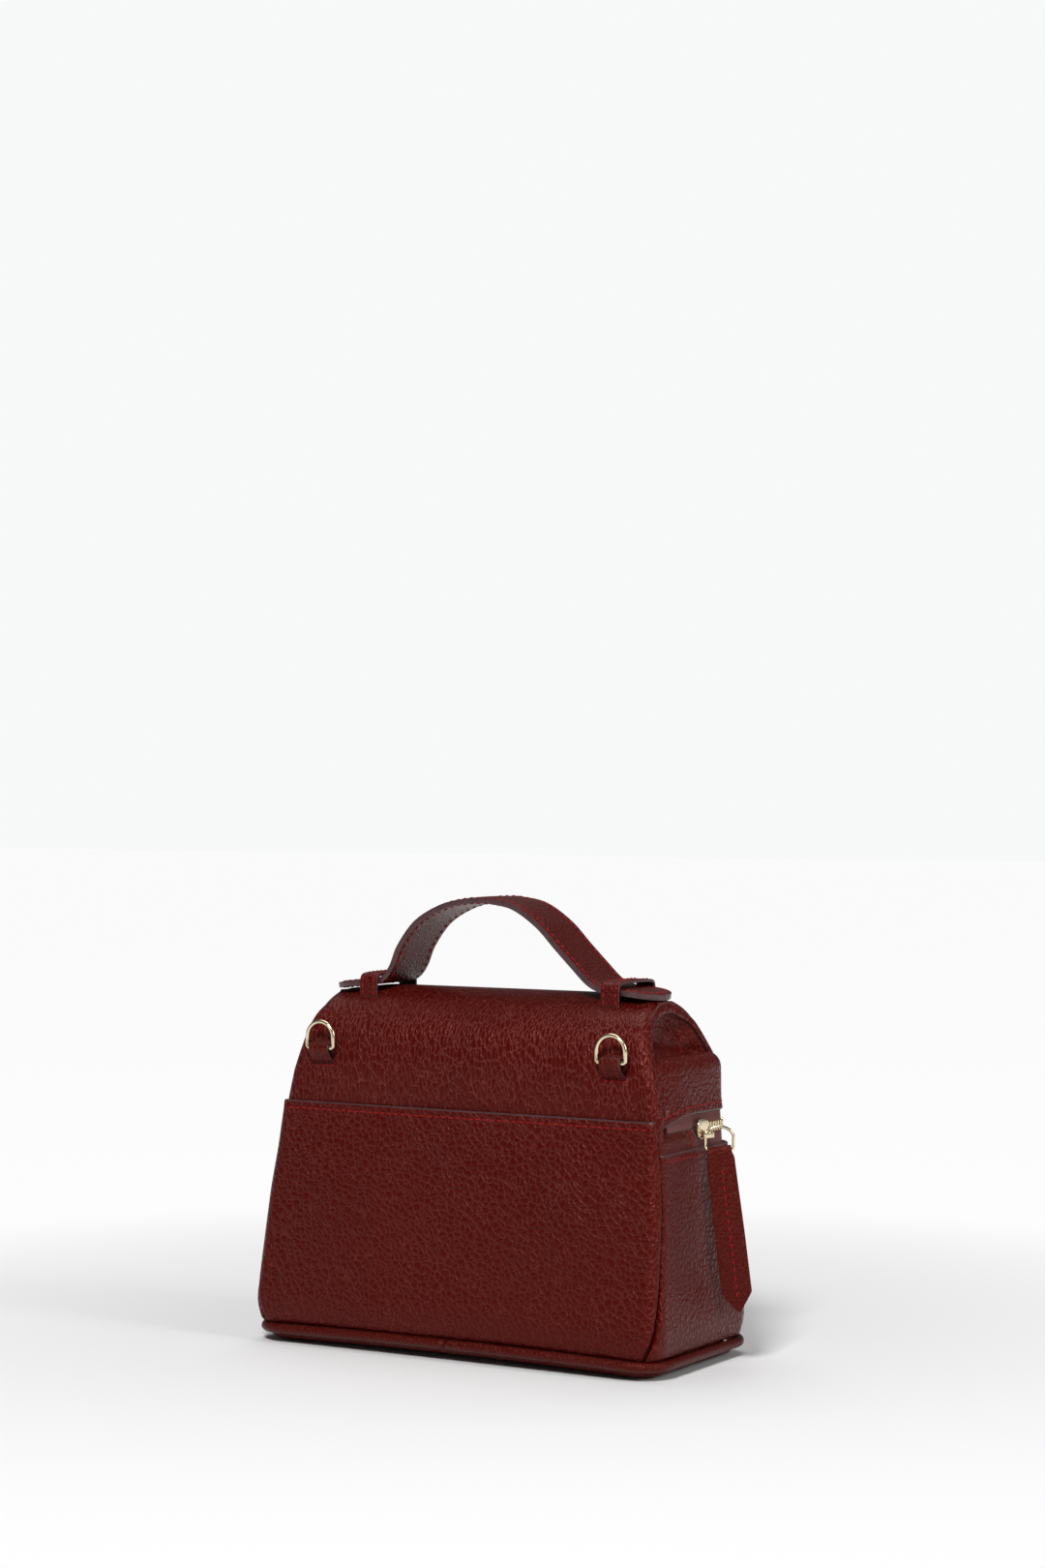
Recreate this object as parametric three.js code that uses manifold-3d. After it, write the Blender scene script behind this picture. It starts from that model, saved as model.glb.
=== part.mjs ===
// A small satchel bag with a zipped lid, a top handle and two D-rings. Millimetres.
// +X is the bag's right as seen from its front, -Y is the front, +Z is up, z = 0 is the floor.
import * as THREE from 'three';
import { mergeVertices } from 'three/addons/utils/BufferGeometryUtils.js';
import Module from 'manifold-3d';

const wasm = await Module();
wasm.setup();

// ---- Driving dimensions ----
const GAP = 0.3;
const LEATHER = 1.8;
const PIPE_Z = 6.4;
const PIPE_R = 2.5;
// Heights of the folds in the walls' surfaces, up to the lower zip edge and up to the pocket's top.
const WALL_LEVELS = [9.2, 14, 20, 27, 34, 44, 60, 75, 96, 102];
const BACK_LEVELS = [...WALL_LEVELS, 109, 116.4];
const PATCH_LEVELS = [102.5, 109, 117.5];
const LOWER_EDGE = 102;
const LID_EDGE = 119.5;
const RIDGE_Z = 145;
const ZIP_Z = 111.5;
const TAPE_T = 0.6;
const TAPE_INSET = 2.1;
const LINING_T = 0.8;
const SEAM_IN = 1.5;
const CROWN_Z = 174.5;
const RING_X = 82;
const RING_Z = 144.8;
const LOOP_X = [67, -70];
const STRAP_W = 32;
const STRAP_T = 2.6;
const SLIDER_Y = -6.5;
const PULL_ANGLE = 31;
const PULL_LEAN = 7;
const PULL_WIRE = 0.7;

// ---- Materials ----
const finish = {
  leather: [0x5a1216, 0.42, 0],
  lining: [0x6b4a3e, 0.9, 0],
  board: [0x8a7558, 0.9, 0],
  tape: [0x6e1a14, 0.85, 0],
  metal: [0xd8c296, 0.25, 1],
};

const model = new THREE.Group();
model.name = 'satchel_bag';

function add(name, geometry, kind) {
  const [color, roughness, metalness] = finish[kind];
  const mesh = new THREE.Mesh(geometry, new THREE.MeshStandardMaterial({ color, roughness, metalness }));
  mesh.name = name;
  model.add(mesh);
}

// ---- Solid helpers ----
function weld(geometry) {
  geometry.deleteAttribute('normal');
  geometry.deleteAttribute('uv');
  return mergeVertices(geometry, 1e-4);
}

function toManifold(geometry) {
  const merged = weld(geometry.clone());
  const vertProperties = Float32Array.from(merged.attributes.position.array);
  const triVerts = Uint32Array.from(merged.index.array);
  return new wasm.Manifold(new wasm.Mesh({ numProp: 3, vertProperties, triVerts }));
}

function fromManifold(solid) {
  const mesh = solid.getMesh();
  const geometry = new THREE.BufferGeometry();
  const points = [];
  for (let i = 0; i < mesh.vertProperties.length; i += mesh.numProp) {
    points.push(mesh.vertProperties[i], mesh.vertProperties[i + 1], mesh.vertProperties[i + 2]);
  }
  geometry.setAttribute('position', new THREE.Float32BufferAttribute(points, 3));
  geometry.setIndex(Array.from(mesh.triVerts));
  return geometry;
}

function union(first, ...rest) {
  return fromManifold(rest.reduce((solid, g) => solid.add(toManifold(g)), toManifold(first)));
}

function cut(first, ...tools) {
  return fromManifold(tools.reduce((solid, g) => solid.subtract(toManifold(g)), toManifold(first)));
}

function box(cx, cy, cz, sx, sy, sz) {
  return new THREE.BoxGeometry(sx, sy, sz).translate(cx, cy, cz);
}

// A closed sheet: place(u, v, w) maps u and v across it, w = 0 is outside and w = 1 inside.
function sheet(nu, nv, place) {
  const geometry = weld(new THREE.BoxGeometry(1, 1, 1, nu, nv, 1));
  const points = geometry.attributes.position;
  for (let i = 0; i < points.count; i += 1) {
    const p = place(points.getX(i) + 0.5, points.getY(i) + 0.5, 0.5 - points.getZ(i));
    points.setXYZ(i, p.x, p.y, p.z);
  }
  return geometry;
}

// ---- The bag's outline ----
function blend(table, z) {
  let i = 0;
  while (i < table.length - 2 && z > table[i + 1][0]) {
    i += 1;
  }
  const t = Math.min(1, Math.max(0, (z - table[i][0]) / (table[i + 1][0] - table[i][0])));
  return table[i].map((value, k) => value + (table[i + 1][k] - value) * t);
}

// Height, half width, half depth and front corner radius of the outer leather, then the rear corner's
// radii along x and y, and how far round that corner the back panel's seam lies.
const SECTIONS = [
  [0, 112, 48.5, 15, 10, 13, 0.15],
  [9, 112.4, 48.8, 15, 9, 12, 0.15],
  [20, 114.8, 49.8, 15, 7, 10, 0.4],
  [44, 112.3, 46.8, 14, 6, 7, 0.85],
  [75, 110.4, 43.2, 12, 6, 6.5, 1],
  [96, 108, 40.7, 11, 6, 6.5, 1],
  [117.5, 105.6, 38.2, 10, 3.5, 4.5, 0.8],
  [119.5, 105, 36.2, 9, 3.5, 4.5, 0.8],
  [145, 99.2, 33.2, 9, 3.5, 4.5, 0.8],
];

function section(z, inset) {
  const [, a, b, r, rx, ry, seam] = blend(SECTIONS, z);
  const least = (value) => Math.max(value - inset, 0.8);
  return { a: a - inset, b: b - inset, r: least(r), rx: least(rx), ry: least(ry), seam };
}

function rearArc({ rx, ry }) {
  return Math.PI / 4 * (rx + ry);
}

// A point on the side at length s from the rear corner's start, going forward. side is +1 or -1.
function cornerPoint(s, z, shape, side) {
  const { a, b, r, rx, ry } = shape;
  const rear = rearArc(shape);
  const flat = 2 * b - ry - r;
  const front = r * Math.PI / 2;
  if (s < rear) {
    const angle = s / rear * Math.PI / 2;
    return new THREE.Vector3(side * (a - rx + rx * Math.sin(angle)), b - ry + ry * Math.cos(angle), z);
  }
  if (s < rear + flat) {
    return new THREE.Vector3(side * a, b - ry - (s - rear), z);
  }
  if (s < rear + flat + front) {
    const angle = (s - rear - flat) / r;
    return new THREE.Vector3(side * (a - r + r * Math.cos(angle)), -(b - r) - r * Math.sin(angle), z);
  }
  return new THREE.Vector3(side * (a - r - (s - rear - flat - front)), -b, z);
}

// Walks the side from the rear seam (or y = yRear) to the front seam (or y = yFront).
function sidePoint(t, z, inset, side, yRear, yFront) {
  const shape = section(z, inset);
  const { b, r, ry, seam } = shape;
  const rear = rearArc(shape);
  const first = yRear === undefined ? seam * rear + GAP / 2 : rear + b - ry - yRear;
  const last = yFront === undefined ? rear + 2 * b - ry - r + r * Math.PI / 2 + SEAM_IN - GAP / 2
    : rear + b - ry - yFront;
  const s = first + (last - first) * t;
  if (yRear !== undefined && s < rear) {
    return new THREE.Vector3(side * shape.a, b - ry + rear - s, z);
  }
  return cornerPoint(s, z, shape, side);
}

// The back panel, its ends turned round the rear corners as far as the seams.
function backPanel(levels, inset, thick) {
  return sheet(12, levels.length - 1, (u, v, w) => {
    const z = levels[Math.round(v * (levels.length - 1))];
    const shape = section(z, inset + thick * w);
    const turn = shape.seam * rearArc(shape) - GAP;
    const k = Math.round(u * 12);
    if (k > 3 && k < 9) {
      return new THREE.Vector3((shape.a - shape.rx) * (6 - k) / 3, shape.b, z);
    }
    const side = k < 6 ? 1 : -1;
    const reach = k < 6 ? (3 - k) / 3 : (k - 9) / 3;
    return cornerPoint(turn * reach, z, shape, side);
  });
}

// The front panel between its two seams.
function frontPanel(levels, inset, thick) {
  return sheet(4, levels.length - 1, (u, v, w) => {
    const z = levels[Math.round(v * (levels.length - 1))];
    const { a, b, r } = section(z, inset + thick * w);
    return new THREE.Vector3((a - r - SEAM_IN - GAP / 2) * (2 * u - 1), -b, z);
  });
}

function sidePanel(side, levels, inset, thick, nu, yFront) {
  return sheet(nu, levels.length - 1, (u, v, w) => {
    const t = side < 0 ? u : 1 - u;
    const z = levels[Math.round(v * (levels.length - 1))];
    return sidePoint(t, z, inset + thick * w, side, undefined, yFront);
  });
}

// ---- Closed loops round the whole bag ----
function ringPoint(angle, z, inset) {
  const { a, b, r } = section(z, inset);
  const c = Math.cos(angle);
  const s = Math.sin(angle);
  return new THREE.Vector3(Math.sign(c) * (a - r) + r * c, Math.sign(s) * (b - r) + r * s, z);
}

function loft(levels) {
  const sides = 32;
  const turn = Math.PI / sides;
  const geometry = weld(new THREE.CylinderGeometry(1, 1, 1, sides, levels.length - 1));
  const points = geometry.attributes.position;
  for (let i = 0; i < points.count; i += 1) {
    const level = Math.round((points.getY(i) + 0.5) * (levels.length - 1));
    const [z, inset, shape = z] = levels[level];
    const radius = Math.hypot(points.getX(i), points.getZ(i));
    if (radius < 0.5) {
      points.setXYZ(i, 0, 0, z);
    } else {
      const p = ringPoint(Math.atan2(-points.getZ(i), points.getX(i)) + turn, shape, inset);
      points.setXYZ(i, p.x, p.y, z);
    }
  }
  return geometry;
}

function uStrip(z0, z1, inset, thick, yRear, nv = 1) {
  const half = 13;
  return sheet(2 * half + 2, nv, (u, v, w) => {
    const z = z0 + (z1 - z0) * v;
    const k = Math.round(u * (2 * half + 2));
    if (k <= half) {
      return sidePoint(k / half, z, inset + thick * w, -1, yRear);
    }
    if (k === half + 1) {
      return new THREE.Vector3(0, -section(z, inset + thick * w).b, z);
    }
    return sidePoint((2 * half + 2 - k) / half, z, inset + thick * w, 1, yRear);
  });
}

// ---- Base ----
const outerTray = loft([[0, 7], [1.2, 3.6], [3.7, 2.6]]);
add('base_panel', cut(outerTray, loft([[1.5, 7, 3], [5, 7, 3]])), 'leather');
add('base_board', loft([[1.8, 7.6, 3], [3.4, 7.6, 3]]), 'board');

class PipingPath extends THREE.Curve {
  getPoint(t) {
    const gapTurn = 0.0012;
    const angle = Math.PI / 2 + 2 * Math.PI * (gapTurn + t * (1 - 2 * gapTurn));
    const reach = section(PIPE_Z, 0);
    const corner = reach.r;
    const flatX = reach.a - corner;
    const flatY = reach.b - corner;
    const lengths = [flatX, corner * Math.PI / 2, 2 * flatY, corner * Math.PI / 2, 2 * flatX];
    const whole = 4 * flatX + 4 * flatY + 2 * Math.PI * corner;
    let s = ((angle - Math.PI / 2) / (2 * Math.PI)) * whole;
    const legs = [...lengths, lengths[1], lengths[2], lengths[3], flatX];
    let leg = 0;
    while (leg < legs.length - 1 && s > legs[leg]) {
      s -= legs[leg];
      leg += 1;
    }
    const bend = s / corner;
    const spots = [
      () => [-s, flatY + corner],
      () => [-flatX - corner * Math.sin(bend), flatY + corner * Math.cos(bend)],
      () => [-flatX - corner, flatY - s],
      () => [-flatX - corner * Math.cos(bend), -flatY - corner * Math.sin(bend)],
      () => [-flatX + s, -flatY - corner],
      () => [flatX + corner * Math.sin(bend), -flatY - corner * Math.cos(bend)],
      () => [flatX + corner, -flatY + s],
      () => [flatX + corner * Math.cos(bend), flatY + corner * Math.sin(bend)],
      () => [flatX - s, flatY + corner],
    ];
    const [x, y] = spots[leg]();
    return new THREE.Vector3(x, y, PIPE_Z);
  }
}

function disc(radius, count) {
  const shape = new THREE.Shape();
  shape.absarc(0, 0, radius, 0, 2 * Math.PI);
  return { shape, curveSegments: count };
}

function tube(path, radius, steps, around) {
  const { shape, curveSegments } = disc(radius, around);
  return new THREE.ExtrudeGeometry(shape, { extrudePath: path, steps, curveSegments });
}

add('base_piping', tube(new PipingPath(), PIPE_R - 0.1, 72, 6), 'leather');

// ---- Lower body ----
add('back_pocket', backPanel([...BACK_LEVELS, 117.5], 0, LEATHER), 'leather');
add('back_panel', backPanel(BACK_LEVELS, LEATHER + GAP, LEATHER), 'leather');
add('front_panel', frontPanel(WALL_LEVELS, 0, LEATHER), 'leather');
for (const [side, label] of [[1, 'left'], [-1, 'right']]) {
  add(`side_panel_${label}`, sidePanel(side, WALL_LEVELS, 0, LEATHER, 16), 'leather');
  add(`zip_end_patch_${label}`, sidePanel(side, PATCH_LEVELS, -0.3, 1.1, 9, 4), 'leather');
}
add('zip_tape_lower', uStrip(LOWER_EDGE - 4, ZIP_Z - 2.4, TAPE_INSET + 0.4, TAPE_T, 20, 3), 'tape');
add('zip_teeth_lower', uStrip(ZIP_Z - 2.1, ZIP_Z - 0.5, 1.6, 1.6, 20), 'metal');
const liningOuter = loft([[4, 10, 9], [9, 5], [20, 6], [44, 5], [75, 5], [107, 4.5]]);
const liningInner = loft([[4.9, 10.8, 9], [9, 5.8], [20, 6.8], [44, 5.8], [75, 5.8], [112, 5.3]]);
add('lining_body', cut(liningOuter, liningInner), 'lining');

// ---- Lid ----
// Profile of the lid's outer leather over the crown, from the rear hinge line to the front corner.
const LID_PROFILE = new THREE.CatmullRomCurve3([
  new THREE.Vector3(0, 36.3, 118.2),
  new THREE.Vector3(0, 34.6, 132),
  new THREE.Vector3(0, 32.8, 145),
  new THREE.Vector3(0, 29, 157),
  new THREE.Vector3(0, 19, 168),
  new THREE.Vector3(0, 8, 173.5),
  new THREE.Vector3(0, 0, CROWN_Z),
  new THREE.Vector3(0, -8, 173.5),
  new THREE.Vector3(0, -19, 168),
  new THREE.Vector3(0, -27, 157.5),
  new THREE.Vector3(0, -32.6, RIDGE_Z + 1.2),
]);

function lidHalf(z) {
  return blend([[118, 104.8], [133, 102.4], [145, 98.9], [157, 96], [168, 93.2], [180, 91.5]], z)[1];
}

function profilePoint(t, inset) {
  const p = LID_PROFILE.getPointAt(t);
  const along = LID_PROFILE.getTangentAt(t);
  return new THREE.Vector3(0, p.y + along.z * -inset, p.z + along.y * inset);
}

function lidSheet(inset, thick, margin) {
  return sheet(4, 20, (u, v, w) => {
    const p = profilePoint(v, inset + thick * w);
    const half = lidHalf(profilePoint(v, 0).z) - margin;
    return new THREE.Vector3(half * (1 - 2 * u), p.y, p.z);
  });
}

add('lid_top_panel', lidSheet(0, LEATHER, 0), 'leather');
add('lid_lining', lidSheet(LEATHER + 0.5, LINING_T, 12), 'lining');

// The vertical band under the slanted front, from the ridge down to the zip.
add('lid_front_band', sheet(4, 3, (u, v, w) => {
  const z = LID_EDGE + (RIDGE_Z - 0.3 - LID_EDGE) * v;
  const { a, b, r } = section(z, LEATHER * w);
  const half = a - r - SEAM_IN - GAP / 2;
  return new THREE.Vector3(-half * (1 - 2 * u), -b, z);
}), 'leather');

// Each end of the lid: a band that follows the zip, then a sunken gore under the crown.
function goreHalf(z, inset) {
  return blend([[145, 29.2], [157, 23.4], [166, 14.2], [171.4, 3]], z)[1] - inset;
}

function gusset(side) {
  const band = sheet(14, 3, (u, v, w) => {
    const z = LID_EDGE + (RIDGE_Z - 0.3 - LID_EDGE) * v;
    const p = sidePoint(side < 0 ? u : 1 - u, z, LEATHER * w, side, 33.8 - 0.13 * (z - 118.2));
    const tuck = 2.6 * Math.min(1, Math.max(0, (p.y + 5) / 38)) ** 2;
    return p.setX(p.x - side * tuck);
  });
  const gore = sheet(8, 6, (u, v, w) => {
    const z = RIDGE_Z - 3 + (171 - RIDGE_Z + 3) * v;
    const reach = goreHalf(Math.max(z, 145), 0.6);
    const y = reach * (side < 0 ? 1 - 2 * u : 2 * u - 1);
    const sink = 2.8 + 5 * Math.sin(Math.PI * Math.min(1, Math.max(0, (z - 143) / 27)));
    return new THREE.Vector3(side * (lidHalf(z) - sink - LEATHER * w), y, z);
  });
  return union(band, gore, box(side * 95, -6, 143, 7, 50, 2.4));
}

for (const [side, label] of [[1, 'left'], [-1, 'right']]) {
  add(`lid_gusset_${label}`, gusset(side), 'leather');
}
add('zip_tape_upper', uStrip(ZIP_Z + 2.4, LID_EDGE + 3, TAPE_INSET + 1, TAPE_T, 20), 'tape');
add('zip_teeth_upper', uStrip(ZIP_Z + 0.5, ZIP_Z + 2.1, 1.6, 1.6, 20), 'metal');

// ---- D-rings on the back of the lid ----
function ringWire() {
  const path = new THREE.CurvePath();
  const r = 7.6;
  const points = [];
  for (let i = 0; i <= 12; i += 1) {
    const angle = Math.PI * (i / 12);
    points.push(new THREE.Vector3(r * Math.cos(angle), 0, 5.2 + r * Math.sin(angle)));
  }
  const arc = new THREE.CatmullRomCurve3(points);
  path.add(new THREE.LineCurve3(new THREE.Vector3(r, 0, 0), new THREE.Vector3(r, 0, 5.2)));
  path.add(arc);
  path.add(new THREE.LineCurve3(new THREE.Vector3(-r, 0, 5.2), new THREE.Vector3(-r, 0, 0)));
  const bar = new THREE.CylinderGeometry(1, 1, 2 * r + 2, 14).rotateZ(Math.PI / 2);
  return union(tube(path, 1, 22, 8), bar);
}

const RING_Y = 38.2;

for (const [side, label] of [[1, 'left'], [-1, 'right']]) {
  const x = side * RING_X;
  add(`d_ring_${label}`, ringWire().translate(x, RING_Y, RING_Z), 'metal');
  const bore = new THREE.CylinderGeometry(1.3, 1.3, 30, 16).rotateZ(Math.PI / 2).translate(x, RING_Y, RING_Z);
  const tab = union(
    box(x, 35.85, RING_Z - 0.6, 11, 4, 5.4),
    new THREE.CylinderGeometry(2.4, 2.4, 11, 18).rotateZ(Math.PI / 2).translate(x, RING_Y, RING_Z),
  );
  add(`d_ring_tab_${label}`, cut(tab, bore), 'leather');
}

// ---- Handle ----
const ARCH = [
  [50, 195], [46, 200.5], [40.5, 206.5], [34, 210.8], [26.6, 214], [13, 217.3], [0, 218], [-14.8, 215.2],
  [-22, 211.6], [-28.6, 206.5], [-39.6, 196.2],
];
const LEG_LEFT = [[60.6, 177], [57.6, 179.4], [55, 184], [52.6, 189], [50.55, 193.8]];
const LEG_RIGHT = [[-39.9, 195.9], [-44.5, 191], [-48.8, 186.7], [-54, 182], [-58.5, 178.9], [-64, 177.1]];

function strap(spots, width, thick) {
  const middle = new THREE.SplineCurve(spots.map(([x, z]) => new THREE.Vector2(x, z)));
  const count = 2 * (spots.length - 1);
  const upper = [];
  const lower = [];
  for (let i = 0; i <= count; i += 1) {
    const p = middle.getPoint(i / count);
    const along = middle.getTangent(i / count);
    upper.push(new THREE.Vector2(p.x - along.y * thick / 2, p.y + along.x * thick / 2));
    lower.push(new THREE.Vector2(p.x + along.y * thick / 2, p.y - along.x * thick / 2));
  }
  const shape = new THREE.Shape([...upper, ...lower.reverse()]);
  const solid = new THREE.ExtrudeGeometry(shape, { depth: width, steps: 1 });
  return solid.rotateX(Math.PI / 2).translate(0, width / 2, 0);
}

add('handle_arch', strap(ARCH, STRAP_W, STRAP_T), 'leather');
add('handle_leg_left', strap(LEG_LEFT, STRAP_W, STRAP_T), 'leather');
add('handle_leg_right', strap(LEG_RIGHT, STRAP_W, STRAP_T), 'leather');

function strapEnd(inner, outer, side) {
  const length = Math.abs(outer - inner);
  const shape = new THREE.Shape();
  const r = 14;
  shape.moveTo(0, -STRAP_W / 2);
  shape.lineTo(length - r, -STRAP_W / 2);
  shape.absellipse(length - r, 0, r, STRAP_W / 2, -Math.PI / 2, Math.PI / 2, false);
  shape.lineTo(0, STRAP_W / 2);
  const solid = new THREE.ExtrudeGeometry(shape, { depth: STRAP_T, steps: 1, curveSegments: 12 });
  if (side < 0) {
    solid.rotateZ(Math.PI);
  }
  return solid.translate(inner, 0, 176 - STRAP_T / 2 + 0.2);
}

add('handle_end_left', strapEnd(61.7, 94, 1), 'leather');
add('handle_end_right', strapEnd(-64.8, -92.5, -1), 'leather');

// A keeper loop sewn to the crown on both sides of the strap.
function keeper(x) {
  const outer = [[18.4, 169.2], [18.6, 172], [18.3, 177.4], [16.9, 179.6], [0, 180.3]];
  const inner = [[16.9, 170.2], [17, 172], [16.8, 177.4], [16.2, 178.3], [0, 178.8]];
  const right = outer.map(([y, z]) => new THREE.Vector2(y, z));
  const left = outer.slice(0, -1).reverse().map(([y, z]) => new THREE.Vector2(-y, z));
  const under = inner.map(([y, z]) => new THREE.Vector2(y, z)).slice(0, -1).reverse();
  const back = inner.map(([y, z]) => new THREE.Vector2(-y, z));
  const shape = new THREE.Shape([...right, ...left, ...back, ...under]);
  const solid = new THREE.ExtrudeGeometry(shape, { depth: 10, steps: 1 });
  return solid.rotateX(Math.PI / 2).rotateZ(Math.PI / 2).translate(x - 5, 0, 0);
}

add('handle_loop_left', keeper(LOOP_X[0]), 'leather');
add('handle_loop_right', keeper(LOOP_X[1]), 'leather');

// ---- Zip slider and its pull ----
const SLIDE_A = section(ZIP_Z, 0).a;
const WIRE_X = -(SLIDE_A + 3.6);
const BRIDGE_Z = 108.6;

const plate = box(-(SLIDE_A - 0.3), SLIDER_Y, ZIP_Z, 2, 10.4, 9.6);
const keel = box(-(SLIDE_A - 2.4), SLIDER_Y, ZIP_Z, 5, 4, 0.5);
const innerPlate = box(-(SLIDE_A - 3.8), SLIDER_Y, ZIP_Z, 0.6, 8, 4.2);
const bridge = cut(
  box(-(SLIDE_A + 3), SLIDER_Y, BRIDGE_Z, 5.2, 5, 3.4),
  new THREE.CylinderGeometry(1.05, 1.05, 8, 14).rotateX(Math.PI / 2).translate(WIRE_X, SLIDER_Y, BRIDGE_Z),
);
add('zip_slider', union(plate, keel, innerPlate, bridge), 'metal');

// The pull hangs in its own plane, then the whole pull is turned about the bridge.
function placePull(geometry) {
  const angle = THREE.MathUtils.degToRad(180 + PULL_ANGLE);
  return geometry.rotateZ(angle).translate(WIRE_X, SLIDER_Y, 0);
}

const RING_W = 13.4;
const BAR_Z = 101.6;
const pullPath = new THREE.CurvePath();
const pullArc = [];
for (let i = 0; i <= 16; i += 1) {
  const angle = Math.PI * (1 - i / 16);
  pullArc.push(new THREE.Vector3(RING_W / 2 + RING_W / 2 * Math.cos(angle), 0, 110.4 + 5.4 * Math.sin(angle)));
}
pullPath.add(new THREE.LineCurve3(new THREE.Vector3(0, 0, BAR_Z), new THREE.Vector3(0, 0, 110.4)));
pullPath.add(new THREE.CatmullRomCurve3(pullArc));
pullPath.add(new THREE.LineCurve3(new THREE.Vector3(RING_W, 0, 110.4), new THREE.Vector3(RING_W, 0, BAR_Z)));
const pullBar = new THREE.CylinderGeometry(PULL_WIRE, PULL_WIRE, RING_W + 1.4, 12);
pullBar.rotateZ(Math.PI / 2).translate(RING_W / 2, 0, BAR_Z);
add('pull_ring', placePull(union(tube(pullPath, PULL_WIRE, 24, 8), pullBar)), 'metal');

const tabShape = new THREE.Shape();
tabShape.moveTo(-5, 0.6);
tabShape.lineTo(-5.2, -6);
tabShape.lineTo(-7, -34);
tabShape.lineTo(-7.4, -68);
tabShape.lineTo(1, -77);
tabShape.lineTo(7.4, -68);
tabShape.lineTo(7, -34);
tabShape.lineTo(5.2, -6);
tabShape.lineTo(5, 0.6);
const tabBlade = new THREE.ExtrudeGeometry(tabShape, { depth: 2, steps: 1 });
tabBlade.rotateX(Math.PI / 2).translate(0, 1, 0);
tabBlade.rotateY(-THREE.MathUtils.degToRad(PULL_LEAN)).translate(RING_W / 2, 0, BAR_Z);
const tabFold = new THREE.CylinderGeometry(1.9, 1.9, 9.8, 16).rotateZ(Math.PI / 2).translate(RING_W / 2, 0, BAR_Z);
const tabBore = new THREE.CylinderGeometry(1.02, 1.02, 13, 14).rotateZ(Math.PI / 2).translate(RING_W / 2, 0, BAR_Z);
add('pull_tab', placePull(cut(union(tabBlade, tabFold), tabBore)), 'leather');

export default model;
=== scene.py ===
"""Looks of the satchel bag: leather, stitching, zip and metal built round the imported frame."""

import math

import bmesh
import bpy
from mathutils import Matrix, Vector


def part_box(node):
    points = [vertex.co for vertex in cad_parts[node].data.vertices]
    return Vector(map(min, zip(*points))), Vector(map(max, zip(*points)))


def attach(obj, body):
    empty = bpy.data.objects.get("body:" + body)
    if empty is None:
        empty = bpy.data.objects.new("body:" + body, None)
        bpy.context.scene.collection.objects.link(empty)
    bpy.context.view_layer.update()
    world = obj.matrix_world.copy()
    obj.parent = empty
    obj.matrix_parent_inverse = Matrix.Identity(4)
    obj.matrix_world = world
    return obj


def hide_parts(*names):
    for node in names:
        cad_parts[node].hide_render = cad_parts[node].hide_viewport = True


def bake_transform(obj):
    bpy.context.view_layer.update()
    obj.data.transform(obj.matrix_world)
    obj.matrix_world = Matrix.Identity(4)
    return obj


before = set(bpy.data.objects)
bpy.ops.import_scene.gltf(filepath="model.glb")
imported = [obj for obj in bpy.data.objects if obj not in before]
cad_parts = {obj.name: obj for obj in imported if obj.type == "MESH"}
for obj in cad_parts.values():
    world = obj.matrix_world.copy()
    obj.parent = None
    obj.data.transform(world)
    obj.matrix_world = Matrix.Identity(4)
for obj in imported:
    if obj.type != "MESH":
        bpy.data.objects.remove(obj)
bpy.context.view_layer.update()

# ---------------------------------------------------------------- dimensions, millimetres
MM = 0.001
LEATHER = 1.8
WALL_Z0 = 9.0
POCKET_TOP = 117.5
LOWER_EDGE = 102.0
LID_EDGE = 119.5
RIDGE_Z = 145.0
ZIP_Z = 111.5
PIPE_Z = 6.4
PIPE_R = 2.5
CROWN_Z = 174.6
BOW = 1.9
FOOT_SHIFT = 2.2
SLIDER_Y = -6.5
STITCH_PITCH = 3.9
STITCH_LENGTH = 3.0
STITCH_R = 0.38
STRAP_W = 32.0
STRAP_T = 2.7
LINING_IN = 4.6
SEAM_GAP = 0.3
HEM = 5.6
HEM_TURN = math.radians(96)

# Points inside the two halves, used to tell a sheet's outside from its inside.
BODY_HEART = (0, 0, 80)
LID_HEART = (0, 0, 130)

# Height, half width, half depth, front corner radius, rear corner radii along x and y, and how far round
# the rear corner the back panel's seam lies.
SECTIONS = [
    (0.0, 112.0, 48.5, 15.0, 10.0, 13.0, 0.15),
    (9.0, 112.4, 48.8, 15.0, 9.0, 12.0, 0.15),
    (20.0, 114.8, 49.8, 15.0, 7.0, 10.0, 0.4),
    (44.0, 112.3, 46.8, 14.0, 6.0, 7.0, 0.85),
    (75.0, 110.4, 43.2, 12.0, 6.0, 6.5, 1.0),
    (96.0, 108.0, 40.7, 11.0, 6.0, 6.5, 1.0),
    (117.5, 105.6, 38.2, 10.0, 3.5, 4.5, 0.8),
]
LID_SECTIONS = [
    (117.5, 105.4, 37.4, 9.5, 2.0, 3.0, 0.5),
    (145.0, 99.6, 37.2, 9.0, 2.0, 3.0, 0.5),
]


# ---------------------------------------------------------------- maths
def clamp(x, low=0.0, high=1.0):
    return max(low, min(high, x))


def smooth(x):
    x = clamp(x)
    return x * x * (3 - 2 * x)


def mix(a, b, t):
    return a + (b - a) * t


def table_at(table, z):
    i = 0
    while i < len(table) - 2 and z > table[i + 1][0]:
        i += 1
    low, high = table[i], table[i + 1]
    t = clamp((z - low[0]) / (high[0] - low[0]))
    return [mix(a, b, t) for a, b in zip(low, high)]


def roll(distance, radius):
    """How far a turned edge has rolled in at this distance from its seam."""
    if distance >= radius:
        return 0.0
    k = (radius - max(distance, 0.0)) / radius
    return radius * (1 - math.sqrt(max(0.0, 1 - k * k)))


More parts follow.
